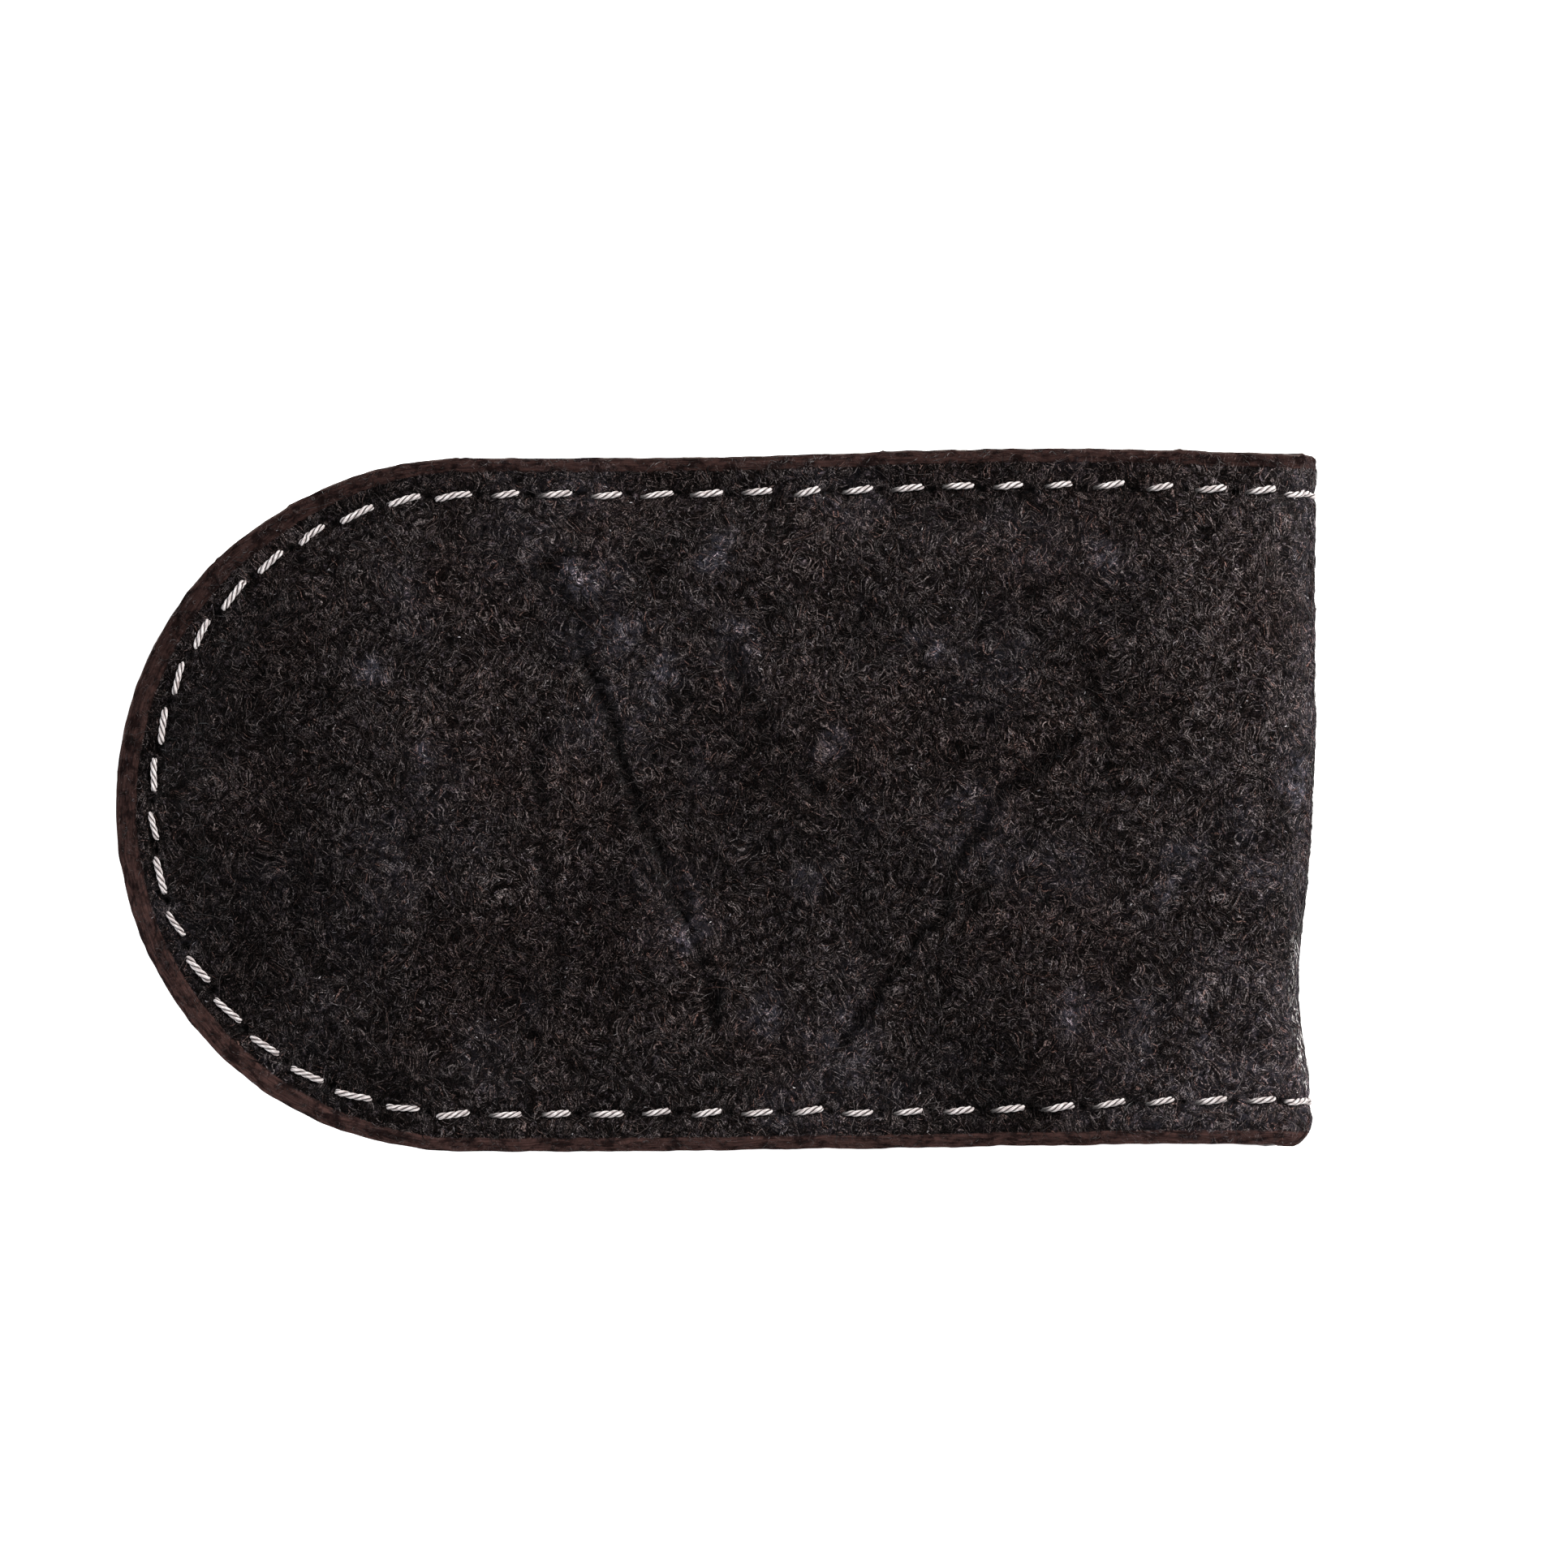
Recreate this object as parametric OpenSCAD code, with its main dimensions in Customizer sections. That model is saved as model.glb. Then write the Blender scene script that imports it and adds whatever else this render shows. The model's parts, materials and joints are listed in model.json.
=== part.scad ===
// Folded leather money clip, held shut by magnets sewn into its two leaves.
// The clip lies closed on its back leaf: +X points at the fold, -X at the rounded tips, +Z up.
// Heights written as "h" are distances from the plane between the closed leaves.

/* [Clip] */
// Length from the rounded tips to the outside of the fold
clip_length = 70; // [60:1:80]
// Width across the leaves
clip_width = 40.6; // [36:0.2:46]
// Gap between the two linings when the clip is shut
leaf_gap = 0.2; // [0.1:0.1:0.4]

/* [Leather] */
// Thickness of the outer leather
outer_t = 1.6; // [1.4:0.1:1.8]
// Thickness of the lining leather
lining_t = 0.8; // [0.7:0.1:1]
// Radius of the lining on the inside of the fold
fold_inner_r = 0.9; // [0.8:0.1:1.2]
// Distance from the fold at which the lining starts to leave the other leaf
flare_start = 21; // [18:1:26]
// Distance from the fold at which the lining runs level again
flare_end = 9; // [7:1:12]

/* [Stiffener and magnets] */
// Thickness of the stiffener board and of the magnets
core_t = 1.2; // [1:0.1:1.3]
// Distance from the leaf's edge to the stiffener
core_inset = 4.6; // [4.4:0.1:6]
// Diameter of one disc magnet
magnet_d = 12; // [8:0.5:13]
// Distance from the tips to the magnets' centres
magnet_from_tip = 15; // [14:0.5:20]
// Distance between the two magnets of a leaf
magnet_spacing = 15; // [14:0.5:17]
// Free play around a magnet in its window
magnet_play = 0.1; // [0.05:0.05:0.2]

/* [Seam] */
// Distance from the leaf's edge to the seam
seam_inset = 2.2; // [2:0.1:2.6]
// Stitches along the seam of one leaf
stitch_count = 52; // [40:2:60]
// Thickness of the thread
thread_t = 0.4; // [0.3:0.05:0.4]
// Diameter of a stitch hole
stitch_hole_d = 1; // [1:0.05:1.2]

/* [Hidden] */

// The fold is a half circle that bends at hinge_count places, one in the middle of each equal part of it.
hinge_count = 4;
hinge_turn = 180 / hinge_count;
hinge_slit = 0.4; // half the angle left open at a hinge

tip_r = clip_width / 2;
fold_mid_r = fold_inner_r + lining_t;
fold_outer_r = fold_mid_r + outer_t;
middle_z = fold_outer_r;

tip_x = -clip_length / 2;
tip_centre_x = tip_x + tip_r;
fold_x = clip_length / 2 - fold_outer_r;
flare_x1 = clip_length / 2 - flare_start;
flare_x2 = clip_length / 2 - flare_end;

// Heights at the rim of a flat leaf, and on top of the stiffener
lining_h = leaf_gap / 2;
joint_h = lining_h + lining_t;
rim_h = joint_h + outer_t;
core_top_h = joint_h + core_t;
top_h = fold_outer_r;

shoulder_slope = 2; // run over rise of the shoulder between rim and raised middle
shoulder_inset = seam_inset + 0.9;

seam_y = tip_r - seam_inset;
groove_w = thread_t + 0.2;
groove_depth = thread_t + 0.05;
thread_sink = 0.02;
leg_offset = 0.05;
outer_leg = outer_t - 0.1;
lining_leg = lining_t - 0.1;

eps = 0.2; // how far a cutting shape runs past what it cuts
smooth = 96;
fine = 24;

// ---- Shapes in plan and in side view ----

// A leaf's outline, drawn in by inset and ending at x = to_x
module plan(inset, to_x) {
    translate([tip_centre_x, 0]) circle(r = tip_r - inset, $fn = smooth);
    translate([tip_centre_x, inset - tip_r]) square([to_x - tip_centre_x, 2 * (tip_r - inset)]);
}

// A side view in X and h, swept across the whole width
module across(points) {
    rotate([90, 0, 0]) linear_extrude(clip_width + 2, center = true) polygon(points);
}

// The line of a layer whose flat part is at h, which flares out to fold_h before the fold
function flared(h, fold_h) = [[tip_x - 1, h], [flare_x1, h], [flare_x2, fold_h], [fold_x, fold_h]];

function backwards(points) = [for (i = [len(points) - 1 : -1 : 0]) points[i]];

// A flat leaf layer between two lines, cut to the leaf's outline
module layer(lower, upper) {
    intersection() {
        across(concat(lower, backwards(upper)));
        linear_extrude(top_h + 1) plan(0, fold_x);
    }
}

// Part of the bent fold: radii r1 to r2, angles a1 to a2 up from +X, between y1 and y2
module bent(r1, r2, a1, a2, y1 = -tip_r, y2 = tip_r) {
    translate([fold_x, 0, 0]) rotate([90, 0, 0]) rotate([0, 0, a1])
        rotate_extrude(angle = a2 - a1, $fn = smooth) translate([r1, -y2]) square([r2 - r1, y2 - y1]);
}

// The first part of the bend, which each leaf carries up to its own hinge
module leaf_bend(r1, r2) {
    bent(r1, r2, 90 - hinge_turn / 2 + hinge_slit, 90);
}

// One of the fold's strips; strip 1 is nearest the back leaf
function strip_angle(strip) = (strip - (hinge_count / 2)) * hinge_turn;
strip_half = hinge_turn / 2 - hinge_slit;

module strip_bend(strip, r1, r2) {
    bent(r1, r2, strip_angle(strip) - strip_half, strip_angle(strip) + strip_half);
}

// ---- The seam ----

bend_length = fold_outer_r * PI * hinge_turn / 2 / 180;
straight_length = fold_x - tip_centre_x;
half_seam = bend_length + straight_length;
seam_length = 2 * half_seam + PI * seam_y;
stitch_length = seam_length / stitch_count;

// Height of the flared line over x
function flared_h(x, h, fold_h) =
    x < flare_x1 ? h : x > flare_x2 ? fold_h : h + (fold_h - h) * (x - flare_x1) / (flare_x2 - flare_x1);

// A place on the seam at distance s from the fold's hinge, on a line at height h: [x, y, h, tilt of the surface]
function seam_side(s, h, fold_h) =
    s < bend_length
        ? let(a = 90 * (1 - (bend_length - s) / (fold_outer_r * PI / 2)))
            [fold_x + fold_h * cos(a), -seam_y, fold_h * sin(a), 90 - a]
        : let(x = fold_x - (s - bend_length)) [x, -seam_y, flared_h(x, h, fold_h), 0];

function seam_place(s, h, fold_h) =
    s < half_seam ? seam_side(s, h, fold_h)
    : s > seam_length - half_seam
        ? let(p = seam_side(seam_length - s, h, fold_h)) [p[0], -p[1], p[2], p[3]]
        : let(a = 270 - (s - half_seam) / seam_y * 180 / PI)
            [tip_centre_x + seam_y * cos(a), seam_y * sin(a), h, 0];

// One stitch seen from its side, as [distance along the stitch, h]: side is 1 when it dips inwards and -1 outwards
function stitch_point(k, s, depth, h, fold_h, side) =
    let(
        start = seam_place(k * stitch_length, h, fold_h),
        end = seam_place((k + 1) * stitch_length, h, fold_h),
        run = norm([end[0] - start[0], end[1] - start[1]]),
        at = seam_place(k * stitch_length + s, h, fold_h),
        along = ((at[0] - start[0]) * (end[0] - start[0]) + (at[1] - start[1]) * (end[1] - start[1])) / run,
        lean = at[3] * (k < stitch_count / 2 ? 1 : -1)
    )
    [along + side * depth * sin(lean), at[2] - side * depth * cos(lean)];

function stitch_outline(k, leg, h, fold_h, side) =
    let(a = leg_offset, b = stitch_length - leg_offset, steps = 4, t = thread_t, sink = thread_sink)
    concat(
        [stitch_point(k, a, leg, h, fold_h, side)],
        [for (i = [0 : steps]) stitch_point(k, a + (b - a) * i / steps, sink, h, fold_h, side)],
        [stitch_point(k, b, leg, h, fold_h, side), stitch_point(k, b - t, leg, h, fold_h, side)],
        [for (i = [0 : steps])
            stitch_point(k, b - t - (b - a - 2 * t) * i / steps, sink + t, h, fold_h, side)],
        [stitch_point(k, a + t, leg, h, fold_h, side)]
    );

module leaf_stitches(leg, h, fold_h, side) {
    for (k = [0 : stitch_count - 1]) {
        start = seam_place(k * stitch_length, h, fold_h);
        end = seam_place((k + 1) * stitch_length, h, fold_h);
        translate([start[0], start[1], 0]) rotate([0, 0, atan2(end[1] - start[1], end[0] - start[0])])
            rotate([90, 0, 0]) linear_extrude(thread_t, center = true)
                polygon(stitch_outline(k, leg, h, fold_h, side));
    }
}

// Needle holes through a leaf, and the half holes that it shares with the fold's first strip
module leaf_holes() {
    for (k = [1 : stitch_count - 1]) {
        p = seam_place(k * stitch_length, rim_h, fold_outer_r);
        translate([p[0], p[1], -eps]) cylinder(d = stitch_hole_d, h = top_h + 1, $fn = fine);
    }
    hinge_holes(90 - hinge_turn / 2);
}

module hinge_holes(angle) {
    for (y = [-seam_y, seam_y])
        translate([fold_x, y, 0]) rotate([0, 90 - angle, 0])
            translate([0, 0, fold_inner_r / 2]) cylinder(d = stitch_hole_d, h = fold_outer_r, $fn = fine);
}

module strip_holes(strip) {
    hinge_holes(strip_angle(strip) - hinge_turn / 2);
    hinge_holes(strip_angle(strip) + hinge_turn / 2);
}

// The groove that the thread lies in, between two lines of a leaf
module leaf_groove(lower, upper) {
    intersection() {
        across(concat(lower, backwards(upper)));
        linear_extrude(top_h + 1) difference() {
            plan(seam_inset - groove_w / 2, fold_x);
            plan(seam_inset + groove_w / 2, fold_x + 1);
        }
    }
}

module bend_groove(r1, r2, a1, a2) {
    for (y = [-seam_y, seam_y]) bent(r1, r2, a1, a2, y - groove_w / 2, y + groove_w / 2);
}

// ---- Leaves, drawn for the front leaf with h as Z ----

module raised_middle() {
    over = 0.3;
    hull() {
        translate([0, 0, rim_h - over]) linear_extrude(0.01)
            plan(shoulder_inset - over * shoulder_slope, flare_x2 + 1);
        translate([0, 0, top_h + over]) linear_extrude(0.01)
            plan(shoulder_inset + (top_h - rim_h + over) * shoulder_slope, flare_x2 + 1);
    }
}

// The stiffener's space: full thickness on the magnets, skived to nothing where the lining flares out
module core_space() {
    intersection() {
        across([
            [tip_x, joint_h], [flare_x1, joint_h], [flare_x2, fold_mid_r],
            [flare_x1, core_top_h], [tip_x, core_top_h]
        ]);
        linear_extrude(top_h) plan(core_inset, flare_x2 + 1);
    }
}

module magnet_places() {
    for (y = [-magnet_spacing / 2, magnet_spacing / 2]) translate([tip_x + magnet_from_tip, y, joint_h]) children();
}

module outer_leather() {
    color("#2a2120") union() {
        difference() {
            layer(flared(joint_h, fold_mid_r), flared(top_h, top_h));
            difference() {
                across(concat(flared(rim_h, fold_outer_r), [[fold_x, top_h + 1], [tip_x - 1, top_h + 1]]));
                raised_middle();
            }
            core_space();
            leaf_groove(flared(rim_h - groove_depth, fold_outer_r - groove_depth), flared(top_h + 1, top_h + 1));
            leaf_holes();
        }
        difference() {
            leaf_bend(fold_mid_r, fold_outer_r);
            bend_groove(fold_outer_r - groove_depth, fold_outer_r + 1, 0, 90);
            leaf_holes();
        }
    }
}

module lining() {
    color("#191312") union() {
        difference() {
            layer(flared(lining_h, fold_inner_r), flared(joint_h, fold_mid_r));
            leaf_groove(flared(-1, -1), flared(lining_h + groove_depth, fold_inner_r + groove_depth));
            leaf_holes();
        }
        difference() {
            leaf_bend(fold_inner_r, fold_mid_r);
            bend_groove(fold_inner_r / 2, fold_inner_r + groove_depth, 0, 90);
            leaf_holes();
        }
    }
}

module stiffener() {
    color("#8a7a63") difference() {
        core_space();
        magnet_places() translate([0, 0, -eps])
            cylinder(d = magnet_d + 2 * magnet_play, h = core_t + 2 * eps, $fn = smooth);
    }
}

module magnet(side) {
    color("#b9bcc0") translate([tip_x + magnet_from_tip, side * magnet_spacing / 2, joint_h])
        cylinder(d = magnet_d, h = core_t, $fn = smooth);
}

module outer_thread() {
    color("#d8cfca") leaf_stitches(outer_leg, rim_h, fold_outer_r, 1);
}

module lining_thread() {
    color("#d8cfca") leaf_stitches(lining_leg, lining_h, fold_inner_r, -1);
}

// ---- The fold's strips ----

module outer_leather_strip(strip) {
    color("#2a2120") difference() {
        strip_bend(strip, fold_mid_r, fold_outer_r);
        bend_groove(fold_outer_r - groove_depth, fold_outer_r + 1, -90, 90);
        strip_holes(strip);
    }
}

module lining_strip(strip) {
    color("#191312") difference() {
        strip_bend(strip, fold_inner_r, fold_mid_r);
        bend_groove(fold_inner_r / 2, fold_inner_r + groove_depth, -90, 90);
        strip_holes(strip);
    }
}

// One stitch on each side, with its two legs in the half holes at the strip's ends. The legs run along the hinges'
// planes, so the legs of two strips never meet.
module outer_thread_strip(strip) {
    turn = hinge_turn / 2 - leg_offset / fold_outer_r * 180 / PI;
    a = strip_angle(strip);
    color("#d8cfca") for (y = [-seam_y, seam_y]) union() {
        bent(fold_outer_r - thread_sink - thread_t, fold_outer_r - thread_sink, a - turn, a + turn,
            y - thread_t / 2, y + thread_t / 2);
        for (end = [-1, 1])
            translate([fold_x, y, 0]) rotate([0, -a - end * hinge_turn / 2, 0])
                translate([fold_mid_r + 0.1, -thread_t / 2, -end * (leg_offset + thread_t / 2) - thread_t / 2])
                    cube([outer_t - 0.1 - thread_sink - thread_t / 2, thread_t, thread_t]);
    }
}

// The lining's stitch is squeezed short on the inside of the fold
module lining_thread_strip(strip) {
    turn = hinge_turn / 2 - 5;
    a = strip_angle(strip);
    color("#d8cfca") for (y = [-seam_y, seam_y])
        bent(fold_inner_r + thread_sink, fold_inner_r + thread_sink + thread_t, a - turn, a + turn,
            y - thread_t / 2, y + thread_t / 2);
}

// ---- Places in the closed clip ----

module front() {
    translate([0, 0, middle_z]) children();
}

module back() {
    translate([0, 0, middle_z]) mirror([0, 0, 1]) children();
}

back() outer_leather();  // outer_leather_back
front() outer_leather_strip(1);  // outer_leather_fold_1
front() outer_leather_strip(2);  // outer_leather_fold_2
front() outer_leather_strip(3);  // outer_leather_fold_3
front() outer_leather();  // outer_leather_front
back() lining();  // lining_back
front() lining_strip(1);  // lining_fold_1
front() lining_strip(2);  // lining_fold_2
front() lining_strip(3);  // lining_fold_3
front() lining();  // lining_front
back() stiffener();  // stiffener_back
front() stiffener();  // stiffener_front
back() magnet(-1);  // magnet_back_1
back() magnet(1);  // magnet_back_2
front() magnet(-1);  // magnet_front_1
front() magnet(1);  // magnet_front_2
back() outer_thread();  // outer_thread_back
front() outer_thread_strip(1);  // outer_thread_fold_1
front() outer_thread_strip(2);  // outer_thread_fold_2
front() outer_thread_strip(3);  // outer_thread_fold_3
front() outer_thread();  // outer_thread_front
back() lining_thread();  // lining_thread_back
front() lining_thread_strip(1);  // lining_thread_fold_1
front() lining_thread_strip(2);  // lining_thread_fold_2
front() lining_thread_strip(3);  // lining_thread_fold_3
front() lining_thread();  // lining_thread_front
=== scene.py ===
"""The looks of a folded leather money clip: napped hide outside, smooth lining inside, twisted cream thread.

The leather's shape is worked out on the unrolled strip. u runs along it from the middle of the fold, positive
towards the front leaf's tip and negative towards the back leaf's. y runs across it. A height is the distance
from the plane between the closed leaves, or in the fold from the fold's centre line. All are millimetres.
"""

import json
import math

import bmesh
import bpy
import numpy as np
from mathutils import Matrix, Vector


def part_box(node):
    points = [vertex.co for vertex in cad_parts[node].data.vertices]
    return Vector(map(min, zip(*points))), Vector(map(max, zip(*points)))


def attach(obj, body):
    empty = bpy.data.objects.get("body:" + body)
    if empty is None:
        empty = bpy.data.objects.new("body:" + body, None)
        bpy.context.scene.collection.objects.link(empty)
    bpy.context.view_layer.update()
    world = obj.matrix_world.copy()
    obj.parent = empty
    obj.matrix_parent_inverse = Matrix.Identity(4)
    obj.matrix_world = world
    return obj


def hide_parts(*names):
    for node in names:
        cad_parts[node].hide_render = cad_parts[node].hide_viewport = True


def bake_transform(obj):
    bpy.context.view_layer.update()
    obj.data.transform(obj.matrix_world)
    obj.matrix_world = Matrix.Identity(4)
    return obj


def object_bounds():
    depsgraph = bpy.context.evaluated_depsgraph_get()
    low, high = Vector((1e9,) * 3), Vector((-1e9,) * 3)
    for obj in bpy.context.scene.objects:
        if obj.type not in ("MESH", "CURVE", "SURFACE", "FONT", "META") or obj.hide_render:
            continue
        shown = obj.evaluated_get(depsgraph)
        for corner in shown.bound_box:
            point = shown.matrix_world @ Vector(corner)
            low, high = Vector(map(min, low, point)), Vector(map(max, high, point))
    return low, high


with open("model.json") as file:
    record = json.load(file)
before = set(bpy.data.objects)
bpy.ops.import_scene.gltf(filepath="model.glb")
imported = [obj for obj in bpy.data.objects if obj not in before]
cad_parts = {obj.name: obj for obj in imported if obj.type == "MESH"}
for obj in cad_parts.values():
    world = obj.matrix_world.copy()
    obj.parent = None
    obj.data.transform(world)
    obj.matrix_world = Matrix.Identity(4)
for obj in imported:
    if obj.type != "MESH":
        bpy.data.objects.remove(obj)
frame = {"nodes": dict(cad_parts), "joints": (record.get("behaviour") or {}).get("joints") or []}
cad_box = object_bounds()

MM = 0.001
SEED = 7


def box_mm(node):
    """A CAD node's lowest and highest corners in millimetres."""
    low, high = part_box(node)
    return low / MM, high / MM


# ---- Measures of the frame ----

CLIP_LOW, CLIP_HIGH = (corner / MM for corner in cad_box)
HALF_WIDTH = CLIP_HIGH.y
MIDDLE_Z = (CLIP_LOW.z + CLIP_HIGH.z) / 2
FOLD_R = CLIP_HIGH.z - MIDDLE_Z
FOLD_X = CLIP_HIGH.x - FOLD_R
TIP_CENTRE_X = CLIP_LOW.x + HALF_WIDTH

CORE_LOW, CORE_HIGH = box_mm("stiffener_front")
LINING_LOW, LINING_HIGH = box_mm("lining_front")
JOINT_H = CORE_LOW.z - MIDDLE_Z
CORE_TOP_H = CORE_HIGH.z - MIDDLE_Z
CORE_INSET = HALF_WIDTH - CORE_HIGH.y
LINING_H = LINING_LOW.z - MIDDLE_Z
FOLD_MID_R = LINING_HIGH.z - MIDDLE_Z
OUTER_T = FOLD_R - FOLD_MID_R
LINING_T = JOINT_H - LINING_H
FOLD_INNER_R = FOLD_MID_R - LINING_T
RIM_H = JOINT_H + OUTER_T
FLARE_END_X = CORE_HIGH.x
FLARE_LENGTH = 12

HINGES = frame["joints"]
HINGE_TURN = math.pi / len(HINGES)
FOLD_STRIPS = (1, 2, 3)
CAD_THREAD_T = 0.4
THREAD_T = 0.39
SEAM_Y = box_mm("outer_thread_fold_2")[1].y - CAD_THREAD_T / 2
SEAM_INSET = HALF_WIDTH - SEAM_Y
STITCHES = 52

# ---- Measures on the unrolled strip ----

BEND = FOLD_R * math.pi / 2
TIP_U = BEND + FOLD_X - TIP_CENTRE_X
LEAF_U = TIP_U + HALF_WIDTH
HINGE_U = FOLD_R * (math.pi / 2 - HINGE_TURN / 2)
STRIP_U = FOLD_R * HINGE_TURN
SEAM_LENGTH = 2 * TIP_U + math.pi * SEAM_Y
STITCH = (SEAM_LENGTH - 2 * HINGE_U) / STITCHES

BEVEL_WIDTH = 1.1
BEVEL_DROP = 1.3

# The seam's groove and needle holes, on the hide and on the lining: depth and half width, depth and radius
HIDE_GROOVE, HIDE_HOLE = (0.20, 0.5), (0.28, 0.28)
LINING_GROOVE, LINING_HOLE = (0.10, 0.45), (0.30, 0.3)

# ---- Seeded noise ----


def lattice(i, j, seed):
    """A random number from -1 to 1 for each whole-number place."""
    mixed = (i * 374761393 + j * 668265263 + seed * 1442695041) & 0xFFFFFFFF
    mixed = ((mixed ^ (mixed >> 13)) * 1274126177) & 0xFFFFFFFF
    mixed = ((mixed ^ (mixed >> 16)) * 2246822519) & 0xFFFFFFFF
    return (mixed ^ (mixed >> 15)) / 0x7FFFFFFF - 1.0


def noise(u, y, size, seed):
    """Smooth noise from -1 to 1 whose lumps are about size wide."""
    a, b = np.asarray(u) / size + 1000.0, np.asarray(y) / size + 1000.0
    i, j = np.floor(a).astype(np.int64), np.floor(b).astype(np.int64)
    a, b = a - i, b - j
    a, b = a * a * (3 - 2 * a), b * b * (3 - 2 * b)
    low = lattice(i, j, seed) * (1 - a) + lattice(i + 1, j, seed) * a
    high = lattice(i, j + 1, seed) * (1 - a) + lattice(i + 1, j + 1, seed) * a
    return low * (1 - b) + high * b


def rough_noise(u, y, size, seed, octaves=3):
    """Noise with finer noise on it."""
    total, share = 0.0, 1.0
    for k in range(octaves):
        turned_u, turned_y = u * 0.8 - y * 0.6, u * 0.6 + y * 0.8
        total = total + share * noise(turned_u, turned_y, size, seed + 17 * k)
        u, y, size, share = turned_u, turned_y, size / 2, share / 2
    return total / 1.6


def unit(vectors):
    """Vectors of length 1, or none where a vector has no length."""
    return vectors / (np.linalg.norm(vectors, axis=-1, keepdims=True) + 1e-9)


def smoothstep(value, start, end):
    """0 up to start, 1 from end on, and a smooth step between."""
    t = np.clip((value - start) / (end - start), 0, 1)
    return t * t * (3 - 2 * t)


# ---- The leather's shape on the unrolled strip ----


def leaf_x(u):
    """Place along the closed leaf of a point of the strip."""
    return FOLD_X - (np.abs(u) - BEND)


def flare(u, smooth=True):
    """0 where the lining of one leaf lies on the other's, 1 from where it runs level into the fold."""
    x, start = leaf_x(u), FLARE_END_X - FLARE_LENGTH
    return smoothstep(x, start, FLARE_END_X) if smooth else np.clip((x - start) / FLARE_LENGTH, 0, 1)


def inset_of(u, y):
    """Distance in from the leaf's cut edge."""
    past = np.maximum(np.abs(u) - TIP_U, 0)
    return HALF_WIDTH - np.hypot(past, y)


def seam_distance(u, y):
    """Distance along the seam from the middle of the fold, past the tip and back to the fold."""
    side = np.where(y < 0, np.abs(u), SEAM_LENGTH - np.abs(u))
    turn = np.arctan2(y, np.abs(u) - TIP_U) + math.pi / 2
    return np.where(np.abs(u) > TIP_U, TIP_U + SEAM_Y * turn, side)


def seam_inset(u, y):
    """How far in the seam runs: further by the fold, and more so on the clip's lower side."""
    lower = 0.42 * (1 - smoothstep(np.abs(u), 6, 20))
    upper = 0.14 * (1 - smoothstep(np.abs(u), 24, 40))
    return SEAM_INSET + np.where(np.asarray(y) < 0, lower, upper)


def hole_distance(u, y):
    """Distance to the nearest needle hole."""
    along = seam_distance(u, y)
    leaf = (along - HINGE_U + STITCH / 2) % STITCH - STITCH / 2
    fold = (np.abs(u) - HINGE_U + STRIP_U / 2) % STRIP_U - STRIP_U / 2
    off = np.where(np.abs(u) < HINGE_U, fold, leaf)
    across = inset_of(u, y) - seam_inset(u, y)
    return np.hypot(off, across * 1.25)


def seam_dip(u, y, groove, hole):
    """How far the seam's groove and needle holes sink the surface."""
    groove_depth, groove_width = groove
    hole_depth, hole_r = hole
    dip = groove_depth * np.exp(-(((inset_of(u, y) - seam_inset(u, y)) / groove_width) ** 2))
    return dip + hole_depth * np.exp(-((hole_distance(u, y) / hole_r) ** 2))


# Natural folds of the hide: points along the front leaf and across it, then half width and depth
CREASES = [
    ([(-9.5, 14.0), (-6.8, 6.5), (-4.4, -0.7), (-2.5, -5.5), (0.3, -13.0)], 0.45, 0.30),
    ([(20.5, 3.5), (14.6, -2.0), (12.7, -7.0), (9.8, -10.5), (7.5, -14.0)], 0.42, 0.30),
    ([(0.3, 9.5), (3.0, 4.5), (5.8, 0.2)], 0.45, 0.20),
    ([(-10.0, 4.0), (-10.2, -4.0), (-9.0, -11.0)], 0.4, 0.14),
    ([(20.0, 10.5), (22.5, 5.5), (23.0, 1.0)], 0.5, 0.10),
]


# Places scuffed grey on the front leaf, which are also painted with sheen: along it, across it and how wide
WORN_AND_SHEEN = [
    (-8.0, 13.3, 1.2), (-5.1, 9.7, 0.9), (-3.3, 7.4, 0.7), (1.0, 9.5, 0.8), (-19.9, 7.4, 0.7),
    (26.9, -3.5, 1.0), (2.9, -12.8, 1.0), (34.0, 0.8, 1.2), (12.4, 9.0, 0.8), (21.0, -12.0, 1.0),
    (7.0, 3.5, 0.8), (-1.5, -8.0, 0.9), (26.0, -5.5, 0.7), (-16.8, 2.5, 0.7), (-10.8, -11.5, 0.6),
    (5.4, -4.5, 0.7), (22.5, 14.0, 0.9), (0.0, 14.5, 0.9),
]


def wear_and_sheen(u, y):
    """0 on fresh hide, 1 where it has been scuffed grey and is painted with sheen: a few places, and all
    along the fold.
    """
    x = leaf_x(u)
    total = 0.25 * smoothstep(rough_noise(u, y, 6.0, SEED + 41), 0.1, 0.7)
    ragged_x = x + 0.9 * rough_noise(x, y, 1.1, SEED + 43)
    ragged_y = y + 0.9 * rough_noise(x, y, 1.1, SEED + 44)
    for place_x, place_y, size in WORN_AND_SHEEN:
        near = np.hypot(ragged_x - place_x, ragged_y - place_y) / size
        total = total + np.exp(-(near**2)) * (np.asarray(u) > 0)
    fold = np.exp(-((u / 3.2) ** 2)) * (0.35 + 0.4 * smoothstep(-y, 2, 9))
    return np.clip((total + fold) * (0.7 + 0.9 * rough_noise(u, y, 1.0, SEED + 42)), 0, 1)


def bare(u, y):
    """1 where the pressed-in fold has been scuffed down to pale fibres, along the crest of its upper turn."""
    crest = 1.3 + 4.6 * pull_in(y)
    stretch = smoothstep(-y, 5, 9) * (1 - smoothstep(-y, 15, 18.5))
    return stretch * np.exp(-(((u - crest) / 0.7) ** 2))


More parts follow.
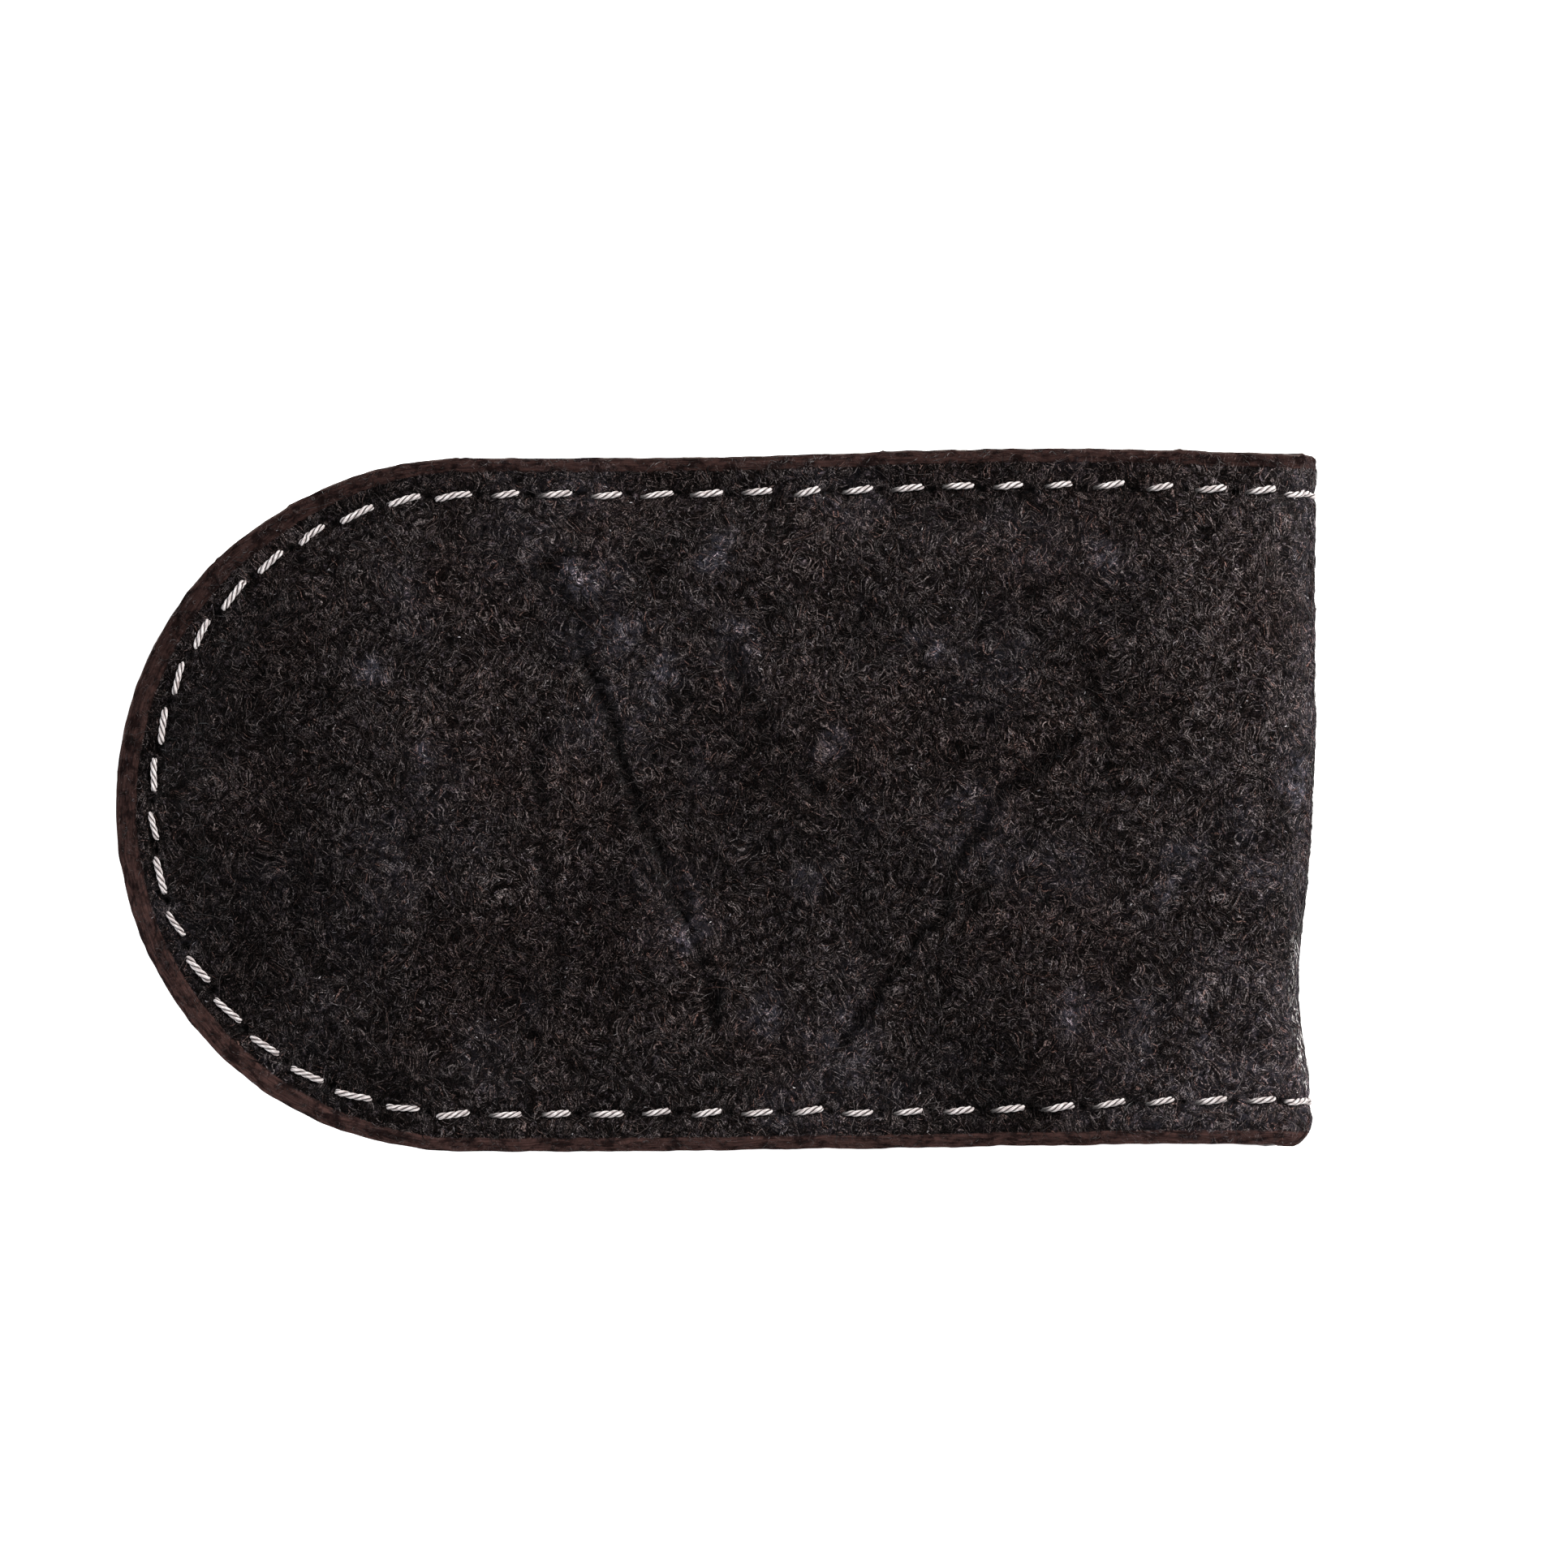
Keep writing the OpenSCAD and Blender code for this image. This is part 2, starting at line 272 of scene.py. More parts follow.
def line_distance(x, y, points):
    """Distance to the nearest of the straight lines that join the points."""
    near = np.full(np.shape(x), np.inf)
    for (x0, y0), (x1, y1) in zip(points, points[1:]):
        dx, dy = x1 - x0, y1 - y0
        t = np.clip(((x - x0) * dx + (y - y0) * dy) / (dx * dx + dy * dy), 0, 1)
        near = np.minimum(near, np.hypot(x - x0 - t * dx, y - y0 - t * dy))
    return near


def crease_depth(u, y):
    """How far the natural folds of the hide sink the surface. They have raised sides, and come and go."""
    x = leaf_x(u)
    wavy_x = x + 0.5 * noise(x, y, 2.1, 5) + 0.2 * noise(x, y, 0.7, 7)
    wavy_y = y + 0.5 * noise(x, y, 2.1, 6) + 0.2 * noise(x, y, 0.7, 8)
    broken = np.clip(0.85 + 0.6 * noise(x, y, 2.4, 9), 0.25, 1.2)
    total = 0.0
    for points, width, depth in CREASES:
        near = line_distance(wavy_x, wavy_y, points)
        raised = 0.4 * np.exp(-(((near - 2.2 * width) / width) ** 2))
        total = total + depth * (np.exp(-((near / width) ** 2)) - raised) * broken
    return np.where(np.asarray(u) > 0, total, 0.5 * total)


def relief(u, y):
    """Lumps, pits and folds of the hide, as a height."""
    h = 0.11 * rough_noise(u, y, 5.0, SEED + 1) + 0.10 * rough_noise(u, y, 1.7, SEED + 2)
    pits = smoothstep(rough_noise(u, y, 1.1, SEED + 4), 0.4, 0.8)
    return (h - 0.16 * pits) * (0.5 + 0.5 * smoothstep(np.abs(u), 2, 6)) - crease_depth(u, y)


def shade(u, y):
    """How light the hide looks, as painted light and shade: dark in its depths and creases, light on its
    lumps, and lighter by the fold than at the tip.
    """
    lit = smoothstep(relief(u, y) + 0.05 * rough_noise(u, y, 0.7, SEED + 6), -0.2, 0.16)
    fold = 1 - smoothstep(np.abs(u), 6, 16)
    tip = smoothstep(np.abs(u), TIP_U - 8, LEAF_U - 8)
    crease = np.clip(crease_depth(u, y), 0, 0.3)
    return (0.33 + 0.67 * lit) * (1 - 1.4 * crease) * (1 + 0.55 * fold - 0.2 * tip)


def bevel_width(u, y):
    """Width of the rounded, painted edge, which is narrow on the fold's one corner and along that side."""
    at_corner = 1 - smoothstep(np.abs(u), BEND, BEND + 9)
    along_side = 1 - smoothstep(np.abs(u), TIP_U - 12, TIP_U + 8)
    return BEVEL_WIDTH * (1 - (0.22 * along_side + 0.58 * at_corner) * (np.asarray(y) > 0))


def outer_height(u, y):
    """Height of the hide's outer face, with its bevelled edge, seam, needle holes, lumps and folds."""
    u, y = np.asarray(u, float), np.asarray(y, float)
    inset = inset_of(u, y)
    rise = 1 - (1 - flare(u)) * (1 - smoothstep(inset, SEAM_INSET + 0.3, CORE_INSET + 1.6))
    h = RIM_H + (FOLD_R - RIM_H) * rise - 0.1 * smoothstep(np.abs(u), 1, 5)
    h = h - seam_dip(u, y, HIDE_GROOVE, HIDE_HOLE)
    inside = smoothstep(inset, 0.6, 2.0)
    h = h + inside * relief(u, y)
    h = h + (0.4 + 0.6 * inside) * 0.07 * rough_noise(u, y, 0.6, SEED + 3, 2)
    width = bevel_width(u, y)
    bevel = np.clip((width + 0.12 * noise(u, y, 0.8, SEED + 5) - inset) / width, 0, 1)
    return h - BEVEL_DROP * width / BEVEL_WIDTH * (1 - np.sqrt(1 - 0.98 * bevel**2))


def joint_height(u):
    """Height of the face between hide and lining at the rim."""
    return JOINT_H + (FOLD_MID_R - JOINT_H) * flare(u, smooth=False)


def pocket_height(u):
    """Height of the hide's inner face over the stiffener."""
    return CORE_TOP_H + (FOLD_MID_R - CORE_TOP_H) * flare(u, smooth=False)


def outer_back_height(u, y):
    """Height of the hide's inner face: glued to the lining at the rim, raised over the stiffener inside."""
    over_core = smoothstep(inset_of(u, y), CORE_INSET - 0.25, CORE_INSET - 0.05)
    return joint_height(u) + (pocket_height(u) - joint_height(u)) * over_core + 0.01


def lining_height(u, y):
    """Height of the lining's visible face, with its seam, holes and the wrinkles inside the fold."""
    u, y = np.asarray(u, float), np.asarray(y, float)
    h = LINING_H + (FOLD_INNER_R - LINING_H) * flare(u) + 0.02
    h = h + seam_dip(u, y, LINING_GROOVE, LINING_HOLE)
    h = h + 0.03 * (1 + rough_noise(u, y, 3.0, SEED + 11))
    in_fold = 1 - smoothstep(np.abs(u), BEND, BEND + 4)
    wrinkle = noise(u, y * 0.18, 0.7, SEED + 12)
    h = h + 0.05 * in_fold * (1 + wrinkle)
    return h + 0.35 * (1 - smoothstep(inset_of(u, y), 0.0, 0.35))


def lining_back_height(u, y):
    """Height of the lining's glued face."""
    return joint_height(u) - 0.01 + 0 * y


# ---- From the unrolled strip to the closed clip ----


def pull_in(y):
    """Share by which the fold is pressed in, where the clip has been held."""
    pressed = 0.30 * np.exp(-0.5 * ((y + 11) / np.where(y > -11, 5.2, 3.9)) ** 2)
    corner = 0.15 * smoothstep(np.abs(y), HALF_WIDTH - 1.6, HALF_WIDTH) * (y < 0)
    return pressed + corner + 0.02 * noise(y, 0 * y, 3.5, SEED + 21)


def askew(u, y, turn):
    """How far out the two long edges run, which aren't quite straight or parallel."""
    reach = np.abs(u)
    upper = 0.13 * np.exp(-(((reach - 19) / 7) ** 2)) - 0.37 * smoothstep(reach, 24, 46)
    upper = upper - 0.22 * (1 - smoothstep(reach, 3, 14))
    lower = 0.48 * smoothstep(reach, 8, 42) - 0.24 - 0.14 * np.exp(-(((reach - 35) / 6) ** 2))
    lower = lower * np.minimum(1, reach / BEND)
    share = 0.8 + 0.2 * smoothstep(u, -BEND, BEND)
    return np.where(y > 0, upper, lower) * np.abs(np.sin(turn)) * share


def outline_wobble(u, y):
    """How far hand cutting has moved the edge outwards."""
    along, leaf = seam_distance(u, y), np.sign(u)
    turn = np.arctan2(y, np.maximum(np.abs(u) - TIP_U, 0) + 1e-9)
    squarer = (0.17 - 0.08 * (y > 0)) * np.sin(2 * turn) ** 2 * (np.abs(u) > TIP_U)
    wave = 0.08 * noise(along, leaf, 9.0, SEED + 22) + 0.06 * rough_noise(along, 7 * leaf, 1.2, SEED + 23)
    bumps = 0.08 * smoothstep(noise(along, 5 * leaf, 0.4, SEED + 24), 0.5, 0.9) * (y > 0)
    lower_leaf = 0.24 * np.exp(-(((u + 4.5) / 2.6) ** 2)) * (y < 0)
    total = wave + bumps + squarer + askew(u, y, turn) + lower_leaf
    return total * (1 - smoothstep(inset_of(u, y), 1.5, 5.5))


def place(u, y, h):
    """The place in the closed clip, in millimetres, of a point of the unrolled strip at height h."""
    u, y, h = (np.asarray(v, float) for v in np.broadcast_arrays(u, y, h))
    turn = np.clip(u / FOLD_R, -math.pi / 2, math.pi / 2)
    past_tip = np.maximum(np.abs(u) - TIP_U, 0)
    out = np.hypot(past_tip, y) + 1e-9
    wobble = outline_wobble(u, y)
    flat = np.maximum(np.abs(u) - BEND, 0) + wobble * past_tip / out
    h = h * (1 - pull_in(y) * np.cos(turn) ** 2)
    x = FOLD_X + h * np.cos(turn) - flat
    z = MIDDLE_Z + h * np.sin(turn)
    return np.stack([x, y + wobble * y / out, z], -1)


# ---- Leather meshes ----

ROW_STEP = 0.21
SHARP_ANGLE = math.radians(70)

# Faces of a layer that a point can be on
SHOWN, WALL, HIDDEN = 0, 1, 2


def insets(*stretches):
    """Distances in from the edge, from stretches of (end, step), starting at the edge."""
    found, at = [0.0], 0.0
    for end, step in stretches:
        count = max(1, round((end - at) / step))
        found += [at + (end - at) * (k + 1) / count for k in range(count)]
        at = end
    return np.array(found)


class Layer:
    """One leather layer. Its half section runs over the face that shows, round the cut edge and back."""

    def __init__(self, shown, hidden, shown_insets, hidden_insets):
        self.shown, self.hidden = shown, hidden
        self.inset = np.concatenate([shown_insets[::-1], np.zeros(1), hidden_insets])
        self.kind = np.array([SHOWN] * len(shown_insets) + [WALL] + [HIDDEN] * len(hidden_insets))

    def height(self, u, y):
        """Heights of half sections, whose points are the array's last axis."""
        shown, hidden = self.shown(u, y), self.hidden(u, y)
        both = np.where(self.kind == SHOWN, shown, hidden)
        return np.where(self.kind == WALL, (shown + hidden) / 2, both)


def straight_points(layer, side, lines):
    """u, y, height and kind of all points of the sections across the strip, one for each line."""
    reach = HALF_WIDTH - layer.inset
    halves = []
    for sign in (-1, 1):
        u, y = np.meshgrid(lines, sign * reach, indexing="ij")
        halves.append((u, y, layer.height(side * u, y), np.tile(layer.kind, (len(lines), 1))))
    # The two halves share their first and last points
    return [np.concatenate([low, high[:, 1:-1]], 1).ravel() for low, high in zip(*halves)]


def tip_points(layer, side, turns):
    """The same for the half sections round the leaf's tip, without the points that all of them share."""
    angles = np.linspace(-math.pi / 2, math.pi / 2, turns + 1)[1:-1]
    reach = HALF_WIDTH - layer.inset
    u = TIP_U + np.outer(np.cos(angles), reach)
    y = np.outer(np.sin(angles), reach)
    points = (u, y, layer.height(side * u, y), np.tile(layer.kind, (len(angles), 1)))
    return [values[:, 1:-1].ravel() for values in points]


def grid_faces(grid):
    """Faces between the neighbours in a grid of point numbers. A corner that comes twice is left out."""
    faces = []
    for a, b in zip(grid.tolist(), grid[1:].tolist()):
        for j in range(len(a) - 1):
            faces.append(list(dict.fromkeys((a[j], a[j + 1], b[j + 1], b[j]))))
    return faces


def tube_faces(first, rings, sides):
    """Faces of a tube round rings of points, and then of its two ends."""
    grid = first + np.arange(rings * sides).reshape(rings, sides)
    closed = np.hstack([grid, grid[:, :1]])
    return [*grid_faces(closed), grid[0, ::-1].tolist(), grid[-1].tolist()]


def straight_grids(rows, count):
    """Numbers of the straight sections' points, for each half. The halves share their outer columns."""
    low = (2 * count - 2) * np.arange(rows + 1)[:, None] + np.arange(count)
    high = low + count - 1
    high[:, [0, -1]] = low[:, [0, -1]]
    return low, high


def tip_grid(low, high, turns, first):
    """Numbers of the points round the tip, from one half of the last straight section to the other."""
    grid = np.tile(low, (turns + 1, 1))
    inner = grid[1:-1, 1:-1]
    inner[:] = first + np.arange(inner.size).reshape(inner.shape)
    grid[-1] = high
    return grid


def leather_mesh(name, layer, side, start, end):
    """A closed solid of one layer from u = start to u = end on one side of the fold, or to the leaf's tip.
    side is 1 towards the front leaf and -1 towards the back leaf. start and end are never negative."""
    to_tip = end is None
    last = TIP_U if to_tip else end
    rows = max(4, round((last - start) / ROW_STEP))
    points = straight_points(layer, side, np.linspace(start, last, rows + 1))
    low, high = straight_grids(rows, len(layer.inset))
    faces = grid_faces(low) + [face[::-1] for face in grid_faces(high)]
    faces.append([*low[0].tolist(), *high[0, -2:0:-1].tolist()])
    if to_tip:
        turns = round(math.pi * HALF_WIDTH / ROW_STEP / 1.15)
        faces += grid_faces(tip_grid(low[-1], high[-1], turns, len(points[0])))
        points = [np.concatenate(both) for both in zip(points, tip_points(layer, side, turns))]
    else:
        faces.append([*low[-1, ::-1].tolist(), *high[-1, 1:-1].tolist()])
    if side < 0:
        faces = [face[::-1] for face in faces]
    u, y, h, kind = points
    obj = mesh_object(name, place(side * u, y, h), faces)
    mark_leather(obj, side, u, y, h, kind)
    return obj


def mark_leather(obj, side, u, y, h, kind):
    """Tells the leather's materials where each point lies on the strip, and what is there."""
    inset = inset_of(u, y)
    top = (kind == SHOWN).astype(float)
    painted = BEVEL_WIDTH * (0.86 + 0.42 * smoothstep(np.abs(u), TIP_U, TIP_U + 14))
    edge = np.maximum(1 - top, 1 - smoothstep(inset, painted - 0.3, painted + 0.1))
    down_the_edge = inset + (1 - top) * 3 + h
    set_values(obj, "flat", np.stack([side * u, y, h], -1))
    set_values(obj, "rim", np.stack([seam_distance(u, y), down_the_edge, 0 * inset], -1))
    set_values(obj, "edge", edge)
    # Painted highlight: a thin pale line at the very edge, along the clip's upper side
    set_values(obj, "lip_highlight", (1 - smoothstep(inset, 0.02, 0.13)) * top * (y > 0))
    set_values(obj, "wear_and_sheen", wear_and_sheen(side * u, y))
    set_values(obj, "bare", bare(side * u, y))
    set_values(obj, "shade", shade(side * u, y))
    set_values(obj, "hole", np.exp(-((hole_distance(u, y) / 0.42) ** 2)) * top)


def add_object(name, data):
    obj = bpy.data.objects.new(name, data)
    bpy.context.scene.collection.objects.link(obj)
    return obj


def mesh_object(name, points_mm, faces):
    """A smooth object in the scene, from points in millimetres."""
    mesh = bpy.data.meshes.new(name)
    mesh.from_pydata((np.asarray(points_mm) * MM).tolist(), [], faces)
    obj = add_object(name, mesh)
    solid = bmesh.new()
    solid.from_mesh(mesh)
    bmesh.ops.recalc_face_normals(solid, faces=solid.faces)
    solid.to_mesh(mesh)
    solid.free()
    mesh.polygons.foreach_set("use_smooth", [True] * len(mesh.polygons))
    mesh.set_sharp_from_angle(angle=SHARP_ANGLE)
    mesh.update()
    return obj


def set_values(obj, name, values):
    """Stores a number or a vector for each point of a piece."""
    values = np.asarray(values, np.float32)
    kind, field = ("FLOAT_VECTOR", "vector") if values.ndim == 2 else ("FLOAT", "value")
    attribute = obj.data.attributes.new(name, kind, "POINT")
    attribute.data.foreach_set(field, values.ravel())


# ---- Material graphs ----


class Graph:
    """A short way to write a material's nodes."""

    def __init__(self, name):
        self.material = bpy.data.materials.new(name)
        self.material.use_nodes = True
        self.tree = self.material.node_tree
        self.tree.nodes.clear()

    def node(self, kind, inputs=(), **settings):
        made = self.tree.nodes.new(kind)
        for key, value in settings.items():
            setattr(made, key, value)
        for key, value in dict(inputs).items():
            if isinstance(value, bpy.types.NodeSocket):
                self.tree.links.new(value, made.inputs[key])
            else:
                made.inputs[key].default_value = value
        return made

    def attribute(self, name, output="Vector"):
        return self.node("ShaderNodeAttribute", attribute_name=name).outputs[output]

    def math(self, operation, a, b, clamp=False):
        return self.node("ShaderNodeMath", {0: a, 1: b}, operation=operation, use_clamp=clamp).outputs[0]

    def product(self, a, b):
        return self.math("MULTIPLY", a, b)

    def vector(self, operation, a, b):
        return self.node("ShaderNodeVectorMath", {0: a, 1: b}, operation=operation).outputs[0]

    def noise(self, at, scale, detail=2.0, roughness=0.5, output="Fac"):
        values = {"Vector": at, "Scale": scale, "Detail": detail, "Roughness": roughness}
        return self.node("ShaderNodeTexNoise", values).outputs[output]

    def spread(self, value, low, high, to_low=0.0, to_high=1.0):
        """to_low where the value is low, to_high where it is high, and a smooth step between."""
        values = {"Value": value, "From Min": low, "From Max": high, "To Min": to_low, "To Max": to_high}
        return self.node("ShaderNodeMapRange", values, interpolation_type="SMOOTHSTEP").outputs[0]

    def mix(self, factor, a, b, blend="MIX"):
        kind = {"data_type": "RGBA", "blend_type": blend}
        return self.node("ShaderNodeMix", {0: factor, 6: a, 7: b}, **kind).outputs[2]

    def times(self, colour, factor):
        return self.mix(1.0, colour, factor, "MULTIPLY")

    def either(self, factor, a, b):
        """A plain value between a and b."""
        return self.node("ShaderNodeMix", {0: factor, 2: a, 3: b}).outputs[0]

    def part(self, vector, axis):
        return self.node("ShaderNodeSeparateXYZ", {0: vector}).outputs[axis]

    def ramp(self, value, stops):
        made = self.node("ShaderNodeValToRGB", {0: value})
        ramp = made.color_ramp
        while len(ramp.elements) < len(stops):
            ramp.elements.new(0.5)
        for element, (at, colour) in zip(ramp.elements, stops):
            element.position = at
            element.color = rgba(colour)
        return made.outputs[0]

    def mapped(self, at, turn=0.0, scale=(1, 1, 1), shift=(0, 0, 0), kind="POINT"):
        """Coordinates scaled, turned and shifted. Kind TEXTURE does so to what they map instead."""
        values = {"Vector": at, "Location": shift, "Rotation": (0, 0, turn), "Scale": scale}
        return self.node("ShaderNodeMapping", values, vector_type=kind).outputs[0]

    def cells(self, at, per_mm, **settings):
        """Flat cells: their distances and random colours."""
        settings["voronoi_dimensions"] = "2D"
        return self.node("ShaderNodeTexVoronoi", {"Vector": at, "Scale": per_mm}, **settings).outputs

    def random(self, cells):
        """Three random numbers of a cell."""
        return self.node("ShaderNodeSeparateColor", {0: cells["Color"]}).outputs

    def bump(self, height, distance_mm):
        return self.node("ShaderNodeBump", {"Height": height, "Distance": distance_mm * MM}).outputs[0]

    def finish(self, **inputs):
        """The material, with these inputs of its Principled shader."""
        named = {key.replace("_", " "): value for key, value in inputs.items()}
        shader = self.node("ShaderNodeBsdfPrincipled", named)
        output = self.node("ShaderNodeOutputMaterial")
        self.tree.links.new(shader.outputs[0], output.inputs[0])
        return self.material


def rgba(srgb):
    """A linear colour from a screen colour of 0 to 255."""
    def linear(c):
        c /= 255
        return c / 12.92 if c <= 0.04045 else ((c + 0.055) / 1.055) ** 2.4
    return (*(linear(c) for c in srgb), 1.0)


# Tones of single fibres: brown-black, greys, some tan, and few that are pale
FIBRE_TONES = [
    (0.0, (5, 3, 3)),
    (0.32, (17, 12, 11)),
    (0.55, (47, 41, 40)),
    (0.75, (88, 82, 82)),
    (0.83, (78, 57, 51)),
    (0.92, (140, 136, 141)),
    (1.0, (226, 222, 220)),
]

# Layers of matted fibres: direction in degrees, length and spacing
FIBRE_LAYERS = [
    (12, 1.0, 0.09), (140, 0.8, 0.08), (75, 1.1, 0.09), (108, 1.2, 0.095), (45, 0.85, 0.08),
]


def crumpled(g, at, per_mm):
    """Small facets, each with its own lightness, and dark where they meet."""
    cells = g.cells(at, per_mm)
    lightness = g.spread(g.random(cells)[0], 0.1, 1.0)
    return g.product(g.spread(cells["Distance"], 0.58, 0.12), lightness)


def wrinkles(g, at, per_mm, width):
    """Thin dark lines between the facets: 0 on a line and 1 off it."""
    return g.spread(g.cells(at, per_mm, feature="DISTANCE_TO_EDGE")["Distance"], 0.0, width)


def drift(g, flat, per_mm, reach):
    """A smooth shift sideways, by up to half of reach."""
    swirl = g.vector("SUBTRACT", g.noise(flat, per_mm, 1.0, output="Color"), (0.5, 0.5, 0.5))
    return g.vector("MULTIPLY", swirl, (reach, reach, 0.0))


def crumpled_ground(g, flat, facet_at):
    """Colour and height of the grey facets and dark pits that show between the fibres."""
    facets = crumpled(g, facet_at, 2.6)
    pits = g.mix(g.noise(flat, 3.0, 2.0), rgba((3, 2, 2)), rgba((11, 8, 7)))
    colour = g.mix(facets, pits, rgba((48, 43, 46)))
    colour = g.times(colour, g.spread(crumpled(g, facet_at, 7.0), 0.0, 0.8, 0.6, 2.0))
    height = g.product(g.math("ADD", g.noise(flat, 6.0, 2.0), facets), 0.22)
    return colour, height


def matted_fibres(g, flat, wear_sheen, colour, height):
    """Colour and height with layers of fibres over them, which curl and lie in swirls."""
    at = g.vector("ADD", g.vector("ADD", flat, drift(g, flat, 0.4, 2.4)), drift(g, flat, 1.6, 0.3))
    for k, (turn, length, width) in enumerate(FIBRE_LAYERS):
        shift = (7.3 * k, 3.1 * k, 0.0)
        cells = g.cells(g.mapped(at, math.radians(turn), (length, width, 1.0), shift, "TEXTURE"), 1.0)
        random = g.random(cells)
        patches = g.noise(g.mapped(flat, shift=(31.0 * k, 17.0, 0.0)), 0.8, 1.0)
        strength = g.product(g.spread(patches, 0.36, 0.6, 0.75, 1.0), g.spread(random[1], 0.15, 0.8))
        shown = g.product(g.spread(cells["Distance"], 0.35, 0.17), strength)
        # Fibres are a little lighter on the places of wear and painted sheen
        tone = g.math("ADD", g.product(random[0], 0.82), g.product(wear_sheen, 0.08))
        colour = g.mix(g.math("MULTIPLY", shown, 1.5, clamp=True), colour, g.ramp(tone, FIBRE_TONES))
        height = g.math("MAXIMUM", height, g.product(shown, g.math("ADD", random[2], 0.4)))
    return colour, height


def wrinkles_and_painted_glints(g, flat, facet_at, colour, height):
    """Colour and height with two sizes of wrinkle, and fine light and dark flecks that are painted glints."""
    for per_mm, width, darkest in ((1.5, 0.10, 0.75), (3.3, 0.14, 0.8)):
        line = wrinkles(g, g.mapped(facet_at, shift=(per_mm, 3.0, 0.0)), per_mm, width)
        colour = g.times(colour, g.spread(line, 0.0, 1.0, darkest, 1.2))
        height = g.product(height, g.spread(line, 0.0, 1.0, 0.5, 1.0))
    # Painted glints: fine flecks, lighter and darker, that stand for the gloss of short fibres
    painted_glints = g.spread(g.noise(flat, 11.0, 2.0, 0.6), 0.36, 0.66, 0.1, 2.45)
    return g.times(colour, painted_glints), height


def wear_sheen_and_shade(g, flat, wear_sheen, colour):
    """Colour with grey places of wear that are also painted with sheen, browner stretches, the hide's painted
    shade, and pale fibres on the fold.
    """
    # Painted sheen: places of wear turned a lighter blue-grey, as if they caught the light
    grey = g.times(g.mix(0.10, colour, rgba((96, 98, 110))), (2.6, 2.68, 2.9, 1))
    patchy = g.spread(g.noise(flat, 2.8, 3.0, 0.65), 0.4, 0.56, 0.15, 1.0)
    colour = g.mix(g.product(wear_sheen, patchy), colour, grey)
    brown = g.spread(g.noise(g.mapped(flat, shift=(50.0, 9.0, 0.0)), 0.13, 2.0), 0.42, 0.68)
    colour = g.mix(g.product(brown, 0.3), colour, g.times(colour, (0.95, 0.7, 0.6, 1)))
    # Painted shade and light: darker in the hide's depths and creases, lighter on its lumps and by the fold
    colour = g.times(colour, g.attribute("shade", "Fac"))
    crackle = g.spread(g.noise(g.mapped(flat, scale=(1.0, 0.6, 1.0)), 4.0, 4.0, 0.7), 0.54, 0.64)
    pale = g.product(g.spread(g.attribute("bare", "Fac"), 0.25, 0.8), crackle)
    return g.mix(pale, colour, rgba((190, 187, 184)))


def hide_material():
    """Napped near-black hide: matted fibres over dark pits, with a painted brown cut edge."""
    g = Graph("napped_hide")
    flat = g.attribute("flat")
    wear_sheen = g.attribute("wear_and_sheen", "Fac")
    facet_at = g.vector("ADD", flat, drift(g, flat, 1.6, 0.9))
    colour, height = crumpled_ground(g, flat, facet_at)
    colour, height = matted_fibres(g, flat, wear_sheen, colour, height)
    colour, height = wrinkles_and_painted_glints(g, flat, facet_at, colour, height)
    colour = wear_sheen_and_shade(g, flat, wear_sheen, colour)
    # Painted shade in the needle holes
    hole = g.spread(g.attribute("hole", "Fac"), 0.35, 0.95)
    colour = g.mix(g.product(hole, 0.8), colour, rgba((2, 2, 2)))

    edge, edge_height = painted_edge(g)
    ragged = g.product(g.noise(flat, 2.5, 4.0, 0.65), 0.7)
    on_edge = g.spread(g.math("ADD", g.attribute("edge", "Fac"), ragged), 0.75, 1.1)
    thin_paint = g.spread(g.noise(flat, 2.2, 3.0, 0.65), 0.38, 0.62, 0.65, 1.0)
    colour = g.mix(g.product(on_edge, thin_paint), colour, edge)
    # Painted highlight: a thin pale line at the very edge, along the clip's upper side
    lip_highlight = g.product(g.attribute("lip_highlight", "Fac"), g.spread(g.noise(flat, 0.7, 3.0, 0.6), 0.4, 0.6))
    colour = g.mix(g.product(lip_highlight, 0.45), colour, rgba((122, 110, 105)))

    # A nap has little gloss, and none at a low angle
    facing = g.node("ShaderNodeLayerWeight", {"Blend": 0.5}).outputs["Facing"]
    gloss = g.product(g.spread(on_edge, 0.0, 0.6, 0.025, 0.0), g.spread(facing, 0.2, 0.6, 1.0, 0.0))
    return g.finish(
        Base_Color=colour,
        Roughness=g.spread(on_edge, 0.0, 1.0, 0.42, 0.8),
        Specular_IOR_Level=gloss,
        Normal=g.bump(g.either(on_edge, height, edge_height), 0.12),
    )


def painted_edge(g):
    """Colour and height of the painted cut edge, with painted light that makes it lighter along the clip's
    lower side.
    """
    rim = g.attribute("rim")
    streaks = g.noise(g.mapped(rim, scale=(0.6, 5.0, 1.0)), 1.0, 5.0, 0.7)
    blotches = g.noise(rim, 0.9, 4.0, 0.65)
    colour = g.mix(g.spread(streaks, 0.32, 0.68), rgba((30, 21, 20)), rgba((62, 44, 41)))
    colour = g.mix(g.spread(blotches, 0.46, 0.6, 0.0, 0.85), colour, rgba((14, 9, 9)))
    # Painted light: the edge is lighter along the clip's lower side, where more light falls on it
    across = g.part(g.attribute("flat"), 1)
    colour = g.times(colour, g.spread(across, 15.0, -18.0, 0.82, 1.65))
    return colour, g.math("ADD", g.product(streaks, 0.6), g.product(blotches, 0.5))


def nap_material():
    """Loose fibres that stand off the hide, each with its own tone."""
    g = Graph("nap_fibres")
    colour = g.ramp(g.attribute("tone", "Fac"), FIBRE_TONES)
    # Painted glints: the fibres lighter and darker in short dashes
    colour = g.times(colour, g.spread(g.noise(g.attribute("flat"), 6.0, 2.0), 0.36, 0.64, 0.3, 1.4))
    # Painted shade and light, the same as on the hide
    colour = g.times(colour, g.attribute("shade", "Fac"))
    return g.finish(Base_Color=colour, Roughness=0.36, Specular_IOR_Level=0.2)


